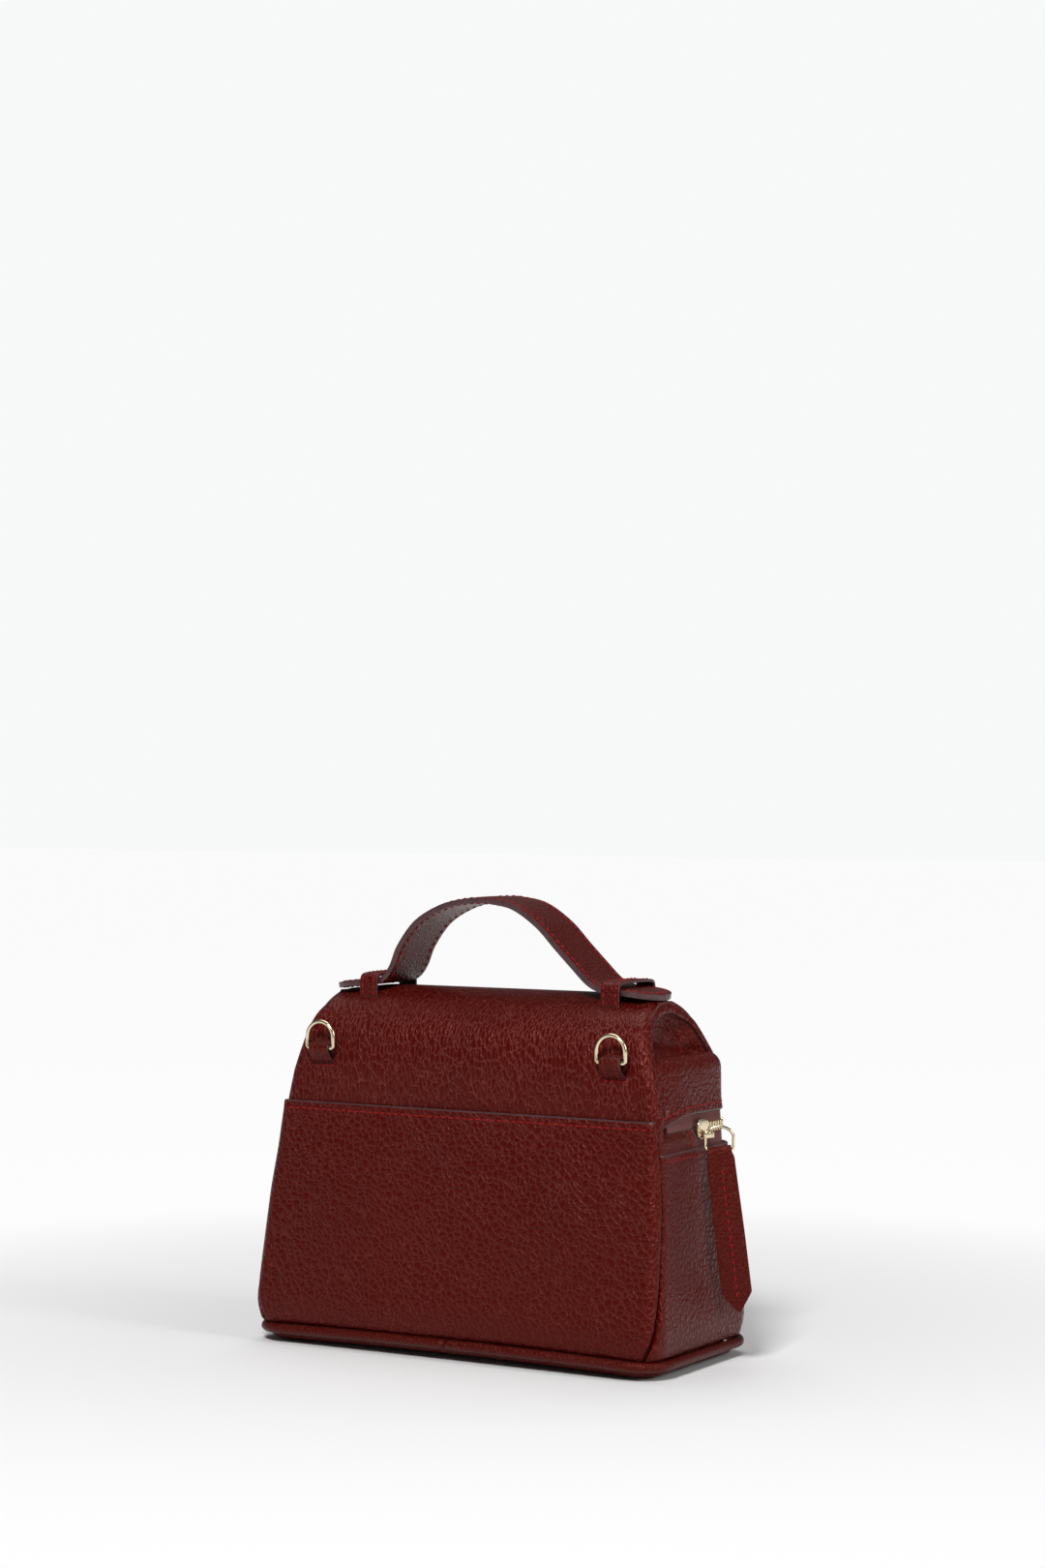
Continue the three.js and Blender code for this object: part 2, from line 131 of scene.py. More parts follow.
def catmull(points, t):
    """A point on a smooth curve through the points, t from 0 to 1."""
    n = len(points) - 1
    s = clamp(t) * n
    i = min(int(s), n - 1)
    f = s - i
    p1, p2 = Vector(points[i]), Vector(points[i + 1])
    p0 = Vector(points[i - 1]) if i > 0 else 2 * p1 - p2
    p3 = Vector(points[i + 2]) if i + 2 <= n else 2 * p2 - p1
    return 0.5 * (2 * p1 + (p2 - p0) * f + (2 * p0 - 5 * p1 + 4 * p2 - p3) * f * f
                  + (3 * p1 - p0 - 3 * p2 + p3) * f * f * f)


def running_length(points):
    reach = [0.0]
    for a, b in zip(points, points[1:]):
        reach.append(reach[-1] + (b - a).length)
    return reach


def bracket(reach, distance):
    """The two neighbouring running lengths round a distance, and how far between them it lies."""
    low, high = 0, len(reach) - 1
    while high - low > 1:
        mid = (low + high) // 2
        if reach[mid] <= distance:
            low = mid
        else:
            high = mid
    span = reach[high] - reach[low]
    return low, high, (distance - reach[low]) / span if span else 0.0


class Curve:
    """A smooth curve read by arc length."""

    def __init__(self, points, samples=400):
        self.spots = [catmull(points, i / samples) for i in range(samples + 1)]
        self.reach = running_length(self.spots)
        self.length = self.reach[-1]

    def at(self, t):
        low, high, f = bracket(self.reach, clamp(t) * self.length)
        return self.spots[low].lerp(self.spots[high], f)

    def along(self, t):
        return (self.at(min(1.0, t + 0.004)) - self.at(max(0.0, t - 0.004))).normalized()


# ---------------------------------------------------------------- materials
class Nodes:
    """Short calls for building one node material."""

    def __init__(self, name):
        self.material = bpy.data.materials.new(name)
        self.material.use_nodes = True
        self.tree = self.material.node_tree
        self.shader = self.tree.nodes["Principled BSDF"]

    def add(self, kind, **settings):
        node = self.tree.nodes.new(kind)
        for key, value in settings.items():
            if hasattr(node, key):
                setattr(node, key, value)
            else:
                node.inputs[key.replace("_", " ")].default_value = value
        return node

    def link(self, source, target):
        self.tree.links.new(source, target)

    def feed(self, output, socket):
        """Links an output to one of the shader's own sockets."""
        self.link(output, self.shader.inputs[socket])

    def place(self, scale=(1, 1, 1)):
        coords = self.add("ShaderNodeTexCoord")
        mapping = self.add("ShaderNodeMapping")
        mapping.inputs["Scale"].default_value = scale
        self.link(coords.outputs["Object"], mapping.inputs["Vector"])
        return mapping.outputs["Vector"]

    def noise(self, vector, scale, detail=3.0):
        node = self.add("ShaderNodeTexNoise", Scale=scale, Detail=detail, Roughness=0.55)
        self.link(vector, node.inputs["Vector"])
        return node.outputs["Fac"]

    def maths(self, operation, a, b):
        node = self.add("ShaderNodeMath", operation=operation)
        for socket, value in zip(node.inputs, (a, b)):
            if isinstance(value, (int, float)):
                socket.default_value = value
            else:
                self.link(value, socket)
        return node.outputs[0]

    def ramp(self, value, stops):
        node = self.add("ShaderNodeValToRGB")
        elements = node.color_ramp.elements
        while len(elements) < len(stops):
            elements.new(0.5)
        for element, (position, color) in zip(elements, stops):
            element.position = position
            element.color = (*color, 1.0)
        self.link(value, node.inputs["Fac"])
        return node.outputs["Color"]

    def paint(self, value, low, high):
        """Colours the shader between two (position, colour) stops of a value."""
        self.feed(self.ramp(value, [low, high]), "Base Color")

    def bump(self, height, distance):
        node = self.add("ShaderNodeBump", Strength=1.0, Distance=distance)
        self.link(height, node.inputs["Height"])
        self.feed(node.outputs["Normal"], "Normal")

    def set(self, **values):
        for key, value in values.items():
            self.shader.inputs[key.replace("_", " ")].default_value = value


def leather_material(name, cell=3.1, stretch=(1.0, 1.0, 1.0), depth=0.38, main=(0.064, 0.0020, 0.0011),
                     painted_highlight_lines=(0.120, 0.016, 0.012)):
    """Pebbled calf leather: rounded cells of the given size and depth in mm, between fine creases painted
    pale as painted highlight lines, with painted shade darkening each cell towards its edge.
    """
    dark_mottle_and_crease_shade, gloss = (0.026, 0.0011, 0.0007), 0.28
    n = Nodes(name)
    per_metre = 1.0 / (cell * MM)
    vector = n.place(tuple(per_metre * k for k in stretch))
    wobble = n.add("ShaderNodeTexNoise", Scale=0.9, Detail=2.0)
    n.link(vector, wobble.inputs["Vector"])
    shift = n.add("ShaderNodeVectorMath", operation="MULTIPLY_ADD")
    n.link(wobble.outputs["Color"], shift.inputs[0])
    shift.inputs[1].default_value = (0.9, 0.9, 0.9)
    n.link(vector, shift.inputs[2])
    cells = n.add("ShaderNodeTexVoronoi", feature="DISTANCE_TO_EDGE", Scale=1.0)
    n.link(shift.outputs[0], cells.inputs["Vector"])
    pebble = n.ramp(cells.outputs["Distance"], [(0.0, (0, 0, 0)), (0.14, (0.55, 0.55, 0.55)),
                                                 (0.3, (0.86, 0.86, 0.86)), (0.5, (1, 1, 1))])
    fine = n.add("ShaderNodeTexVoronoi", feature="DISTANCE_TO_EDGE", Scale=2.1)
    n.link(shift.outputs[0], fine.inputs["Vector"])
    crease = n.ramp(fine.outputs["Distance"], [(0.0, (0, 0, 0)), (0.4, (1, 1, 1))])
    patchy = n.noise(n.place(), 38.0, 2.0)
    height = n.maths("MULTIPLY", pebble, n.maths("ADD", patchy, 0.35))
    height = n.maths("ADD", height, n.maths("MULTIPLY", crease, 0.16))
    height = n.maths("ADD", height, n.maths("MULTIPLY", n.noise(vector, 7.0), 0.03))
    n.bump(height, depth * MM)
    broad = n.noise(n.place(), 14.0, 3.0)
    # Colour: real random mottling from the broad noise, plus painted shade that darkens each cell towards its
    # crease.
    mottle_and_crease_shade = n.maths("ADD", n.maths("MULTIPLY", pebble, 0.62), n.maths("MULTIPLY", broad, 0.5))
    color = n.ramp(mottle_and_crease_shade, [(0.05, dark_mottle_and_crease_shade), (0.62, main)])
    # Painted highlight: pale pink lines painted along the cell edges stand in for glints on the grain.
    painted_highlight_mask = n.ramp(cells.outputs["Distance"], [(0.015, (0.9, 0.9, 0.9)), (0.05, (0, 0, 0))])
    blend = n.add("ShaderNodeMix", data_type="RGBA")
    n.link(painted_highlight_mask, blend.inputs["Factor"])
    n.link(color, blend.inputs["A"])
    blend.inputs["B"].default_value = (*painted_highlight_lines, 1.0)
    n.feed(blend.outputs["Result"], "Base Color")
    rough = n.ramp(pebble, [(0.0, (gloss + 0.2,) * 3), (0.8, (gloss,) * 3)])
    n.feed(rough, "Roughness")
    n.set(Specular_IOR_Level=0.34, Specular_Tint=(1.0, 0.36, 0.30, 1.0))
    return n.material


def edge_material():
    n = Nodes("edge_paint")
    vector = n.place()
    n.paint(n.noise(vector, 260.0), (0.3, (0.040, 0.011, 0.013)), (0.75, (0.078, 0.026, 0.030)))
    n.bump(n.noise(vector, 900.0), 0.06 * MM)
    n.set(Roughness=0.42, Coat_Weight=0.1, Coat_Roughness=0.4)
    return n.material


def thread_material():
    n = Nodes("red_thread")
    vector = n.place()
    twist = n.add("ShaderNodeTexWave", Scale=900.0, Distortion=1.5, bands_direction="DIAGONAL")
    n.link(vector, twist.inputs["Vector"])
    n.paint(twist.outputs["Fac"], (0.0, (0.21, 0.0035, 0.005)), (1.0, (0.36, 0.006, 0.009)))
    n.bump(twist.outputs["Fac"], 0.05 * MM)
    n.set(Roughness=0.7, Specular_IOR_Level=0.2)
    return n.material


def metal_material():
    n = Nodes("pale_gold")
    vector = n.place()
    n.paint(n.noise(vector, 120.0), (0.3, (0.74, 0.61, 0.41)), (0.7, (0.86, 0.74, 0.53)))
    rough = n.ramp(n.noise(vector, 420.0, 4.0), [(0.3, (0.14,) * 3), (0.75, (0.26,) * 3)])
    n.feed(rough, "Roughness")
    n.bump(n.noise(vector, 700.0), 0.015 * MM)
    n.set(Metallic=1.0)
    return n.material


def tape_material():
    n = Nodes("woven_tape")
    vector = n.place()
    rib = n.add("ShaderNodeTexWave", Scale=420.0, Distortion=0.4, bands_direction="Z")
    n.link(vector, rib.inputs["Vector"])
    weft = n.add("ShaderNodeTexWave", Scale=380.0, Distortion=0.6, bands_direction="DIAGONAL")
    n.link(vector, weft.inputs["Vector"])
    weave = n.maths("MULTIPLY", rib.outputs["Fac"], weft.outputs["Fac"])
    n.paint(weave, (0.0, (0.075, 0.005, 0.004)), (0.8, (0.19, 0.014, 0.010)))
    n.bump(weave, 0.18 * MM)
    n.set(Roughness=0.85, Sheen_Weight=0.25)
    return n.material


def lining_material():
    n = Nodes("lining_cloth")
    vector = n.place()
    warp = n.add("ShaderNodeTexWave", Scale=520.0, Distortion=0.5, bands_direction="X")
    weft = n.add("ShaderNodeTexWave", Scale=520.0, Distortion=0.5, bands_direction="Z")
    n.link(vector, warp.inputs["Vector"])
    n.link(vector, weft.inputs["Vector"])
    weave = n.maths("ADD", n.maths("MULTIPLY", warp.outputs["Fac"], 0.5),
                    n.maths("MULTIPLY", weft.outputs["Fac"], 0.5))
    n.paint(weave, (0.1, (0.10, 0.062, 0.046)), (0.9, (0.19, 0.125, 0.095)))
    n.bump(weave, 0.1 * MM)
    n.set(Roughness=0.8, Sheen_Weight=0.2)
    return n.material


def board_material():
    n = Nodes("stiffener_board")
    vector = n.place()
    n.paint(n.noise(vector, 300.0), (0.2, (0.20, 0.14, 0.08)), (0.8, (0.30, 0.22, 0.13)))
    n.set(Roughness=0.9)
    return n.material


LEATHER_MAIN = leather_material("pebbled_leather")
# The lid's copy has brighter painted highlight lines along its cell edges.
LEATHER_LID = leather_material("pebbled_leather_drawn", cell=2.6, stretch=(1.25, 0.7, 0.5),
                               painted_highlight_lines=(0.145, 0.024, 0.019))
LEATHER_FINE = leather_material("pebbled_leather_fine", cell=2.0, depth=0.22, main=(0.054, 0.0018, 0.0010))
EDGE = edge_material()
THREAD = thread_material()
METAL = metal_material()
TAPE = tape_material()
LINING = lining_material()
BOARD = board_material()


# ---------------------------------------------------------------- mesh helpers
def finish_object(name, mesh, body, materials):
    obj = bpy.data.objects.new(name, mesh)
    bpy.context.scene.collection.objects.link(obj)
    for material in materials:
        mesh.materials.append(material)
    for polygon in mesh.polygons:
        polygon.use_smooth = True
    if isinstance(body, tuple):
        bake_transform(obj)
    else:
        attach(obj, body)
    return obj


def mesh_object(name, points, faces, body, materials, indices=None):
    """An object from points in millimetres."""
    mesh = bpy.data.meshes.new(name)
    mesh.from_pydata([tuple(Vector(p) * MM) for p in points], [], faces)
    if indices:
        for polygon, index in zip(mesh.polygons, indices):
            polygon.material_index = index
    mesh.update()
    return finish_object(name, mesh, body, materials)


def grid(surface, nu, nv):
    points = [surface(i / nu, j / nv) for j in range(nv + 1) for i in range(nu + 1)]
    faces = []
    for j in range(nv):
        for i in range(nu):
            a = j * (nu + 1) + i
            faces.append((a, a + 1, a + nu + 2, a + nu + 1))
    return points, faces


def faces_out(points, faces, inside):
    """Turns a sheet's faces so that most of them point away from the inside point."""
    inside = Vector(inside)
    total = 0.0
    for face in faces:
        a, b, c, d = (Vector(points[k]) for k in face)
        total += (c - a).cross(d - b).dot(a - inside)
    return [tuple(reversed(face)) for face in faces] if total < 0 else faces


def bevel(obj, width=0.35, segments=2):
    modifier = obj.modifiers.new("soft_edges", "BEVEL")
    modifier.width = width * MM
    modifier.segments = segments
    modifier.limit_method = "ANGLE"
    modifier.angle_limit = math.radians(50)


def thicken(obj, thickness, offset=-1):
    """Gives a sheet its thickness, inwards at offset -1 or half to each side at 0."""
    modifier = obj.modifiers.new("thickness", "SOLIDIFY")
    modifier.thickness = thickness * MM
    modifier.offset = offset
    return modifier


def outward_sheet(name, surface, nu, nv, body, materials, inside):
    """A sheet whose faces point away from the inside point."""
    points, faces = grid(surface, nu, nv)
    return mesh_object(name, points, faces_out(points, faces, inside), body, materials)


def leather_sheet(name, surface, nu, nv, body, thick=LEATHER, inside=BODY_HEART, material=LEATHER_MAIN):
    """A leather panel with painted edges: the surface is its outside, the thickness goes in."""
    obj = outward_sheet(name, surface, nu, nv, body, [material, EDGE], inside)
    thicken(obj, thick).material_offset_rim = 1
    bevel(obj)
    return obj


def tube_faces(rings, around, closed=False):
    """Quads between rings of points, and from the last ring to the first if it is closed."""
    faces = []
    for i in range(rings if closed else rings - 1):
        j = (i + 1) % rings
        for k in range(around):
            m = (k + 1) % around
            faces.append((i * around + k, i * around + m, j * around + m, j * around + k))
    return faces


def end_caps(rings, around):
    return [tuple(reversed(range(around))), tuple((rings - 1) * around + k for k in range(around))]


def prism_faces(n):
    """Faces of a prism whose two ends have n points each."""
    ends = [tuple(range(n)), tuple(reversed(range(n, 2 * n)))]
    return ends + [(k, k + n, (k + 1) % n + n, (k + 1) % n) for k in range(n)]


def sweep(points, outline, closed=False, up=None):
    """Carries an outline of 2D points along a path. Returns points and faces, with open ends capped."""
    path = [Vector(p) for p in points]
    count, around = len(path), len(outline)
    out = []
    side = None
    for i, p in enumerate(path):
        before = path[i - 1] if (i > 0 or closed) else p
        after = path[(i + 1) % count] if (i < count - 1 or closed) else p
        tangent = (after - before).normalized()
        if up is not None:
            side = tangent.cross(Vector(up)).normalized()
        elif side is None:
            side = tangent.orthogonal().normalized()
        else:
            side = (side - tangent * side.dot(tangent)).normalized()
        rise = side.cross(tangent)
        out += [p + side * x + rise * y for x, y in outline]
    return out, tube_faces(count, around, closed) + ([] if closed else end_caps(count, around))


def circle(radius, count=16):
    return [(radius * math.cos(2 * math.pi * k / count), radius * math.sin(2 * math.pi * k / count))
            for k in range(count)]


def join(*parts):
    points, faces = [], []
    for more_points, more_faces in parts:
        base = len(points)
        points += more_points
        faces += [tuple(base + k for k in face) for face in more_faces]
    return points, faces


def fix_normals(obj):
    work = bmesh.new()
    work.from_mesh(obj.data)
    bmesh.ops.recalc_face_normals(work, faces=work.faces)
    work.to_mesh(obj.data)
    work.free()


def wire(name, points, radius, body, material=METAL, closed=False, count=16):
    """A round wire or cord along a path."""
    out, faces = sweep(points, circle(radius, count), closed)
    obj = mesh_object(name, out, faces, body, [material])
    fix_normals(obj)
    return obj


# ---------------------------------------------------------------- stitching
def capsule(start, end, normal, radius):
    """One stitch: a rounded thread that dips into the leather at both ends."""
    along = end - start
    side = along.cross(normal).normalized()
    rise = side.cross(along.normalized()).normalized()
    if rise.dot(normal) < 0:
        rise = -rise
    steps, around = 5, 6
    points = []
    for i in range(steps + 1):
        t = i / steps
        arch = math.sin(math.pi * t)
        r = radius * (0.55 + 0.45 * arch)
        centre = start + along * t + normal * (radius * (0.95 * arch - 0.8))
        for k in range(around):
            angle = 2 * math.pi * k / around
            points.append(centre + side * (r * math.cos(angle)) + rise * (r * math.sin(angle)))
    return points, tube_faces(steps + 1, around) + end_caps(steps + 1, around)


def surface_normal(surface, u, v, inside):
    step = 0.002
    across = surface(min(1, u + step), v) - surface(max(0, u - step), v)
    upward = surface(u, min(1, v + step)) - surface(u, max(0, v - step))
    normal = across.cross(upward).normalized()
    return normal if normal.dot(surface(u, v) - Vector(inside)) >= 0 else -normal


def stitches(name, surface, path, body, inside=BODY_HEART, pitch=STITCH_PITCH, length=STITCH_LENGTH,
             radius=STITCH_R):
    """A row of stitches over a surface. path(t) gives u and v for t from 0 to 1."""
    samples = 600
    track = [surface(*path(i / samples)) for i in range(samples + 1)]
    reach = running_length(track)
    count = max(1, round(reach[-1] / pitch))
    gap = reach[-1] / count

    def spot(distance):
        low, high, f = bracket(reach, distance)
        return track[low].lerp(track[high], f), (low + f) / samples

    parts = []
    for i in range(count):
        start, t0 = spot((i + 0.5) * gap - length / 2)
        end, t1 = spot((i + 0.5) * gap + length / 2)
        normal = surface_normal(surface, *path((t0 + t1) / 2), inside)
        parts.append(capsule(start, end, normal, radius))
    points, faces = join(*parts)
    obj = mesh_object(name, points, faces, body, [THREAD])
    fix_normals(obj)
    return obj


def bead(name, surface, path, body, inside=BODY_HEART):
    """The rounded, painted edge of a leather sheet."""
    count = 120
    points = []
    for i in range(count + 1):
        u, v = path(i / count)
        points.append(surface(u, v) - surface_normal(surface, u, v, inside) * (LEATHER / 2))
    return wire(name, points, LEATHER * 0.52, body, EDGE, count=10)


# ---------------------------------------------------------------- lower body
def lifted(p):
    """The base sags a little less at mid width, so the bag stands on its corners, and the foot sits a
    little to the left of the lid."""
    rise = BOW * (1 - clamp(abs(p.x) / 112) ** 2) * clamp(1 - p.z / 30)
    return Vector((p.x + FOOT_SHIFT * clamp(1 - p.z / POCKET_TOP), p.y, p.z + rise))


def ease(u):
    """From 1 to -1 with the steps closer together near both ends."""
    return math.sin((0.5 - u) * math.pi)


def rounded(table, z):
    """A section whose numbers change smoothly with height."""
    return [sum(table_at(table, z + step)[k] for step in (-4, 0, 4)) / 3 for k in range(1, 7)]


def rear_arc(section):
    return math.pi / 4 * (section[3] + section[4])


def back_path(s, section):
    """Position and outward direction at length s from the middle of the back, towards +X."""
    a, b, _, rx, ry, _ = section
    flat = a - rx
    if abs(s) <= flat:
        return s, b, 0.0, 1.0
    angle = (abs(s) - flat) / rear_arc(section) * math.pi / 2
    sign = math.copysign(1, s)
    return (sign * (flat + rx * math.sin(angle)), b - ry + ry * math.cos(angle), sign * math.sin(angle),
            math.cos(angle))


def back_surface(z0, z1):
    """The back leather, its ends turned round the rear corners to the seams on the sides."""
    puff, seam_roll, foot_roll = 1.2, 3.0, 3.4

    def surface(u, v):
        z = mix(z0, z1, v)
        section = rounded(SECTIONS, z)
        half = section[0] - section[3] + section[5] * rear_arc(section) - SEAM_GAP
        x, y, nx, ny = back_path(half * ease(u), section)
        side = half * (1 - abs(ease(u)))
        push = puff * smooth((side - 8) / 55) * math.sin(math.pi * clamp((z - 6) / 115))
        push += 0.35 * math.sin(x * 0.045 + z * 0.06) * smooth(side / 25)
        push -= roll(side, seam_roll) + roll(z - z0 + 0.6, foot_roll)
        return lifted(Vector((x + nx * push, y + ny * push, z)))
    return surface


def front_surface(z0, z1, puff=1.2, table=SECTIONS, foot_roll=3.4, top_roll=0.0):
    """The front leather between the seams at the front corners."""
    seam_roll = 3.8

    def surface(u, v):
        z = mix(z0, z1, v)
        a, b, r = table_at(table, z)[1:4]
        half = a - r - 0.35
        x = -half * ease(u)
        side = half - abs(x)
        y = b + puff * smooth(side / 60) * math.sin(math.pi * clamp((z - 6) / 115))
        y += 0.35 * math.sin(x * 0.045 + z * 0.06) * smooth(side / 25)
        y -= roll(side, seam_roll)
        if foot_roll:
            y -= roll(z - z0 + 0.6, foot_roll)
        if top_roll:
            y -= roll(z1 - z + 0.4, top_roll)
        return lifted(Vector((x, -y, z)))
    return surface


def side_path(s, section):
    """Position and outward direction at length s along one side, from the rear corner to the front seam."""
    a, b, r, rx, ry, _ = section
    rear = rear_arc(section)
    flat = 2 * b - ry - r
    if s < rear:
        angle = s / rear * math.pi / 2
        return a - rx + rx * math.sin(angle), b - ry + ry * math.cos(angle), math.sin(angle), math.cos(angle)
    if s < rear + flat:
        return a, b - ry - (s - rear), 1.0, 0.0
    angle = (s - rear - flat) / r
    return a - r + r * math.cos(angle), -(b - r) - r * math.sin(angle), math.cos(angle), -math.sin(angle)


def side_surface(side, z0, z1, inset=0.0, tuck=0.0, stop=None, foot_roll=3.4):
    """The side gusset between the back and front seams, or up to y = stop, tucked in under the lid."""
    pinch, rear_roll, front_roll = 2.4, 3.0, 3.8

    def surface(u, v):
        z = mix(z0, z1, v)
        section = rounded(SECTIONS, z)
        _, b, r, _, ry, seam = section
        rear = rear_arc(section)
        start = seam * rear + SEAM_GAP
        whole = rear + 2 * b - ry - r + math.pi / 2 * r
        reach = whole if stop is None else rear + b - ry - stop
        s = mix(start, reach, u)
        x, y, nx, ny = side_path(s, section)
        middle = (s - whole * 0.5) / 26
        push = -inset - pinch * math.exp(-middle * middle) * smooth((z - 16) / 40) * smooth((108 - z) / 25)
        push -= roll(s - start, rear_roll) + tuck * smooth((z - 108) / 6)
        if stop is None:
            push -= roll(whole - s, front_roll)
        if foot_roll:
            push -= roll(z - z0 + 0.6, foot_roll)
        return lifted(Vector((side * (x + nx * push), y + ny * push, z)))
    return surface


def loop_point(u, z, inset):
    """A point on the rounded rectangle round the whole bag, from mid back towards the right side (-X)."""
    _, a, b, r = table_at(SECTIONS, z)[:4]
    a, b, r = a - inset, b - inset, max(r - inset, 1.0)
    fx, fy, arc = a - r, b - r, math.pi / 2 * r
    s = (u % 1.0) * (4 * fx + 4 * fy + 4 * arc)
    legs = [fx, arc, 2 * fy, arc, 2 * fx, arc, 2 * fy, arc, fx]
    leg = 0
    while leg < 8 and s > legs[leg]:
        s -= legs[leg]
        leg += 1
    t = s / r
    spots = [(-s, b), (-fx - r * math.sin(t), fy + r * math.cos(t)), (-a, fy - s),
             (-fx - r * math.cos(t), -fy - r * math.sin(t)), (-fx + s, -b),
             (fx + r * math.sin(t), -fy - r * math.cos(t)), (a, -fy + s),
             (fx + r * math.cos(t), fy + r * math.sin(t)), (fx - s, b)]
    return Vector((*spots[leg], z))


def build_body():
    """The back with its slip pocket, the front and the two side gussets with their zip-end patches."""
    pocket = back_surface(WALL_Z0, POCKET_TOP)
    panel = leather_sheet("back_pocket_leather", pocket, 150, 80, "body")
    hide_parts("back_pocket", "back_panel")
    depth = POCKET_TOP - WALL_Z0
    stitches("stitching_pocket_edge", pocket, lambda t: (0.06 + 0.88 * t, 1 - 2.9 / depth), "body")
    bead("painted_edge_pocket", pocket, lambda t: (0.002 + 0.996 * t, 1), "body")

    front = front_surface(WALL_Z0, LOWER_EDGE)
    panel = leather_sheet("front_panel_leather", front, 110, 60, "body")
    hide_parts("front_panel")
    depth = LOWER_EDGE - WALL_Z0
    stitches("stitching_front_edge", front, lambda t: (0.02 + 0.96 * t, 1 - 2.4 / depth), "body")
    bead("painted_edge_front", front, lambda t: (0.002 + 0.996 * t, 1), "body")

    for side, label in ((1, "left"), (-1, "right")):
        gusset = side_surface(side, WALL_Z0, LOWER_EDGE)
        panel = leather_sheet(f"side_gusset_{label}", gusset, 90, 60, "body")
        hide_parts(f"side_panel_{label}")
        stitches(f"stitching_side_edge_{label}", gusset, lambda t: (0.04 + 0.92 * t, 1 - 2.6 / depth), "body")
        bead(f"painted_edge_side_{label}", gusset, lambda t: (0.004 + 0.992 * t, 1), "body")
        patch = side_surface(side, LOWER_EDGE - 4, LID_EDGE + 2.6, inset=0.7, tuck=2.9, stop=0.2, foot_roll=0)
        panel = leather_sheet(f"zip_end_patch_leather_{label}", patch, 36, 12, "body", thick=1.1,
                              material=LEATHER_FINE)
        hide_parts(f"zip_end_patch_{label}")
        stitches(f"stitching_zip_end_{label}", patch, lambda t: (0.93, 0.2 + 0.6 * t), "body", pitch=3.4,
                 length=2.6)


def build_base():
    """The base leather with its turned-up edge, the piping round it and the board inside."""
    # Height and distance in from the outline, from the middle of the underside up round its edge.
    levels = [(0.5, 60), (0.2, 20), (0.0, 9), (0.5, 5.6), (1.6, 3.8), (3.0, 2.9), (4.1, 2.9), (4.6, 5.2)]
    middle = 45

    def base(u, v):
        k = v * (len(levels) - 1)
        low = min(int(k), len(levels) - 2)
        z, inset = (mix(levels[low][n], levels[low + 1][n], k - low) for n in (0, 1))
        p = loop_point(u, 6, min(inset, middle))
        return lifted(Vector((p.x, p.y * (1 if inset < middle else 0.02), z)))
    panel = leather_sheet("base_leather", base, 160, (len(levels) - 1) * 3, "body", thick=1.3,
                          inside=(0, 0, 30))
    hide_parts("base_panel")

    count = 240
    path = []
    for i in range(count + 1):
        p = loop_point(0.0006 + 0.9988 * i / count, PIPE_Z, 0)
        path.append(lifted(Vector((p.x, p.y, PIPE_Z))))
    out, faces = sweep(path, circle(PIPE_R - 0.05, 18), up=(0, 0, 1))
    pipe = mesh_object("base_piping_leather", out, faces, "body", [LEATHER_FINE])
    fix_normals(pipe)
    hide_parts("base_piping")

    def board(u, v):
        p = loop_point(u, 6, mix(60, 8.0, v))
        return lifted(Vector((p.x, p.y * (1 if v > 0.05 else 0.02), 3.4)))
    stiff = outward_sheet("base_stiffener", board, 120, 10, "body", [BOARD], (0, 0, -100))
    thicken(stiff, 1.5)
    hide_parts("base_board")


def build_lining():
    """The cloth bag inside: a flat floor, then walls with soft crinkles."""
    floor_share = 0.16

    def lining(u, v):
        if v < floor_share:
            k = v / floor_share
            p = loop_point(u, 9, mix(44, LINING_IN + 4, k))
            return lifted(Vector((p.x, p.y * (1 if k > 0.05 else 0.02), 4.6 + 1.2 * k ** 6)))
        z = mix(5.8, 107.0, (v - floor_share) / (1 - floor_share))
        crinkle = 0.5 * math.sin(u * 61 + z * 0.11) + 0.4 * math.sin(u * 143 - z * 0.07)
        foot = 3.5 * (1 - smooth((z - 5.8) / 12))
        p = loop_point(u, max(z, 9), LINING_IN + 0.9 + foot + 0.5 * crinkle)
        return lifted(Vector((p.x, p.y, z)))
    points, faces = grid(lining, 160, 50)
    cloth = mesh_object("body_lining_cloth", points, faces, "body", [LINING])
    fix_normals(cloth)
    thicken(cloth, 0.5, 0)
    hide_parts("lining_body")


# ---------------------------------------------------------------- zip
class ZipRun:
    """The line the zip follows: from the right side's rear, round the front, to the left side's rear."""

    def __init__(self, inset):
        _, a, b, r = table_at(SECTIONS, ZIP_Z)[:4]
        self.a, self.b, self.r = a - inset, b - inset, r - inset
        self.rear = 24.0
        self.flat = self.rear + self.b - self.r
        self.arc = math.pi / 2 * self.r
        self.front = 2 * (self.a - self.r)
        self.length = 2 * (self.flat + self.arc) + self.front

    def at(self, s):
        """x, y and the outward direction at length s."""
        if s > self.length / 2:
            x, y, nx, ny = self.at(self.length - s)
            return -x, y, -nx, ny
        if s < self.flat:
            return -self.a, self.rear - s, -1.0, 0.0
        if s < self.flat + self.arc:
            angle = (s - self.flat) / self.r
            nx, ny = -math.cos(angle), -math.sin(angle)
            return -(self.a - self.r) + self.r * nx, -(self.b - self.r) + self.r * ny, nx, ny
        return -(self.a - self.r) + (s - self.flat - self.arc), -self.b, 0.0, -1.0


def tape_surface(z0, z1, inset):
    run = ZipRun(inset)

    def surface(u, v):
        x, y, nx, ny = run.at(u * run.length)
        z = mix(z0, z1, v)
        lean = (z - ZIP_Z) * -0.055
        return Vector((x + nx * lean, y + ny * lean, z))
    return surface


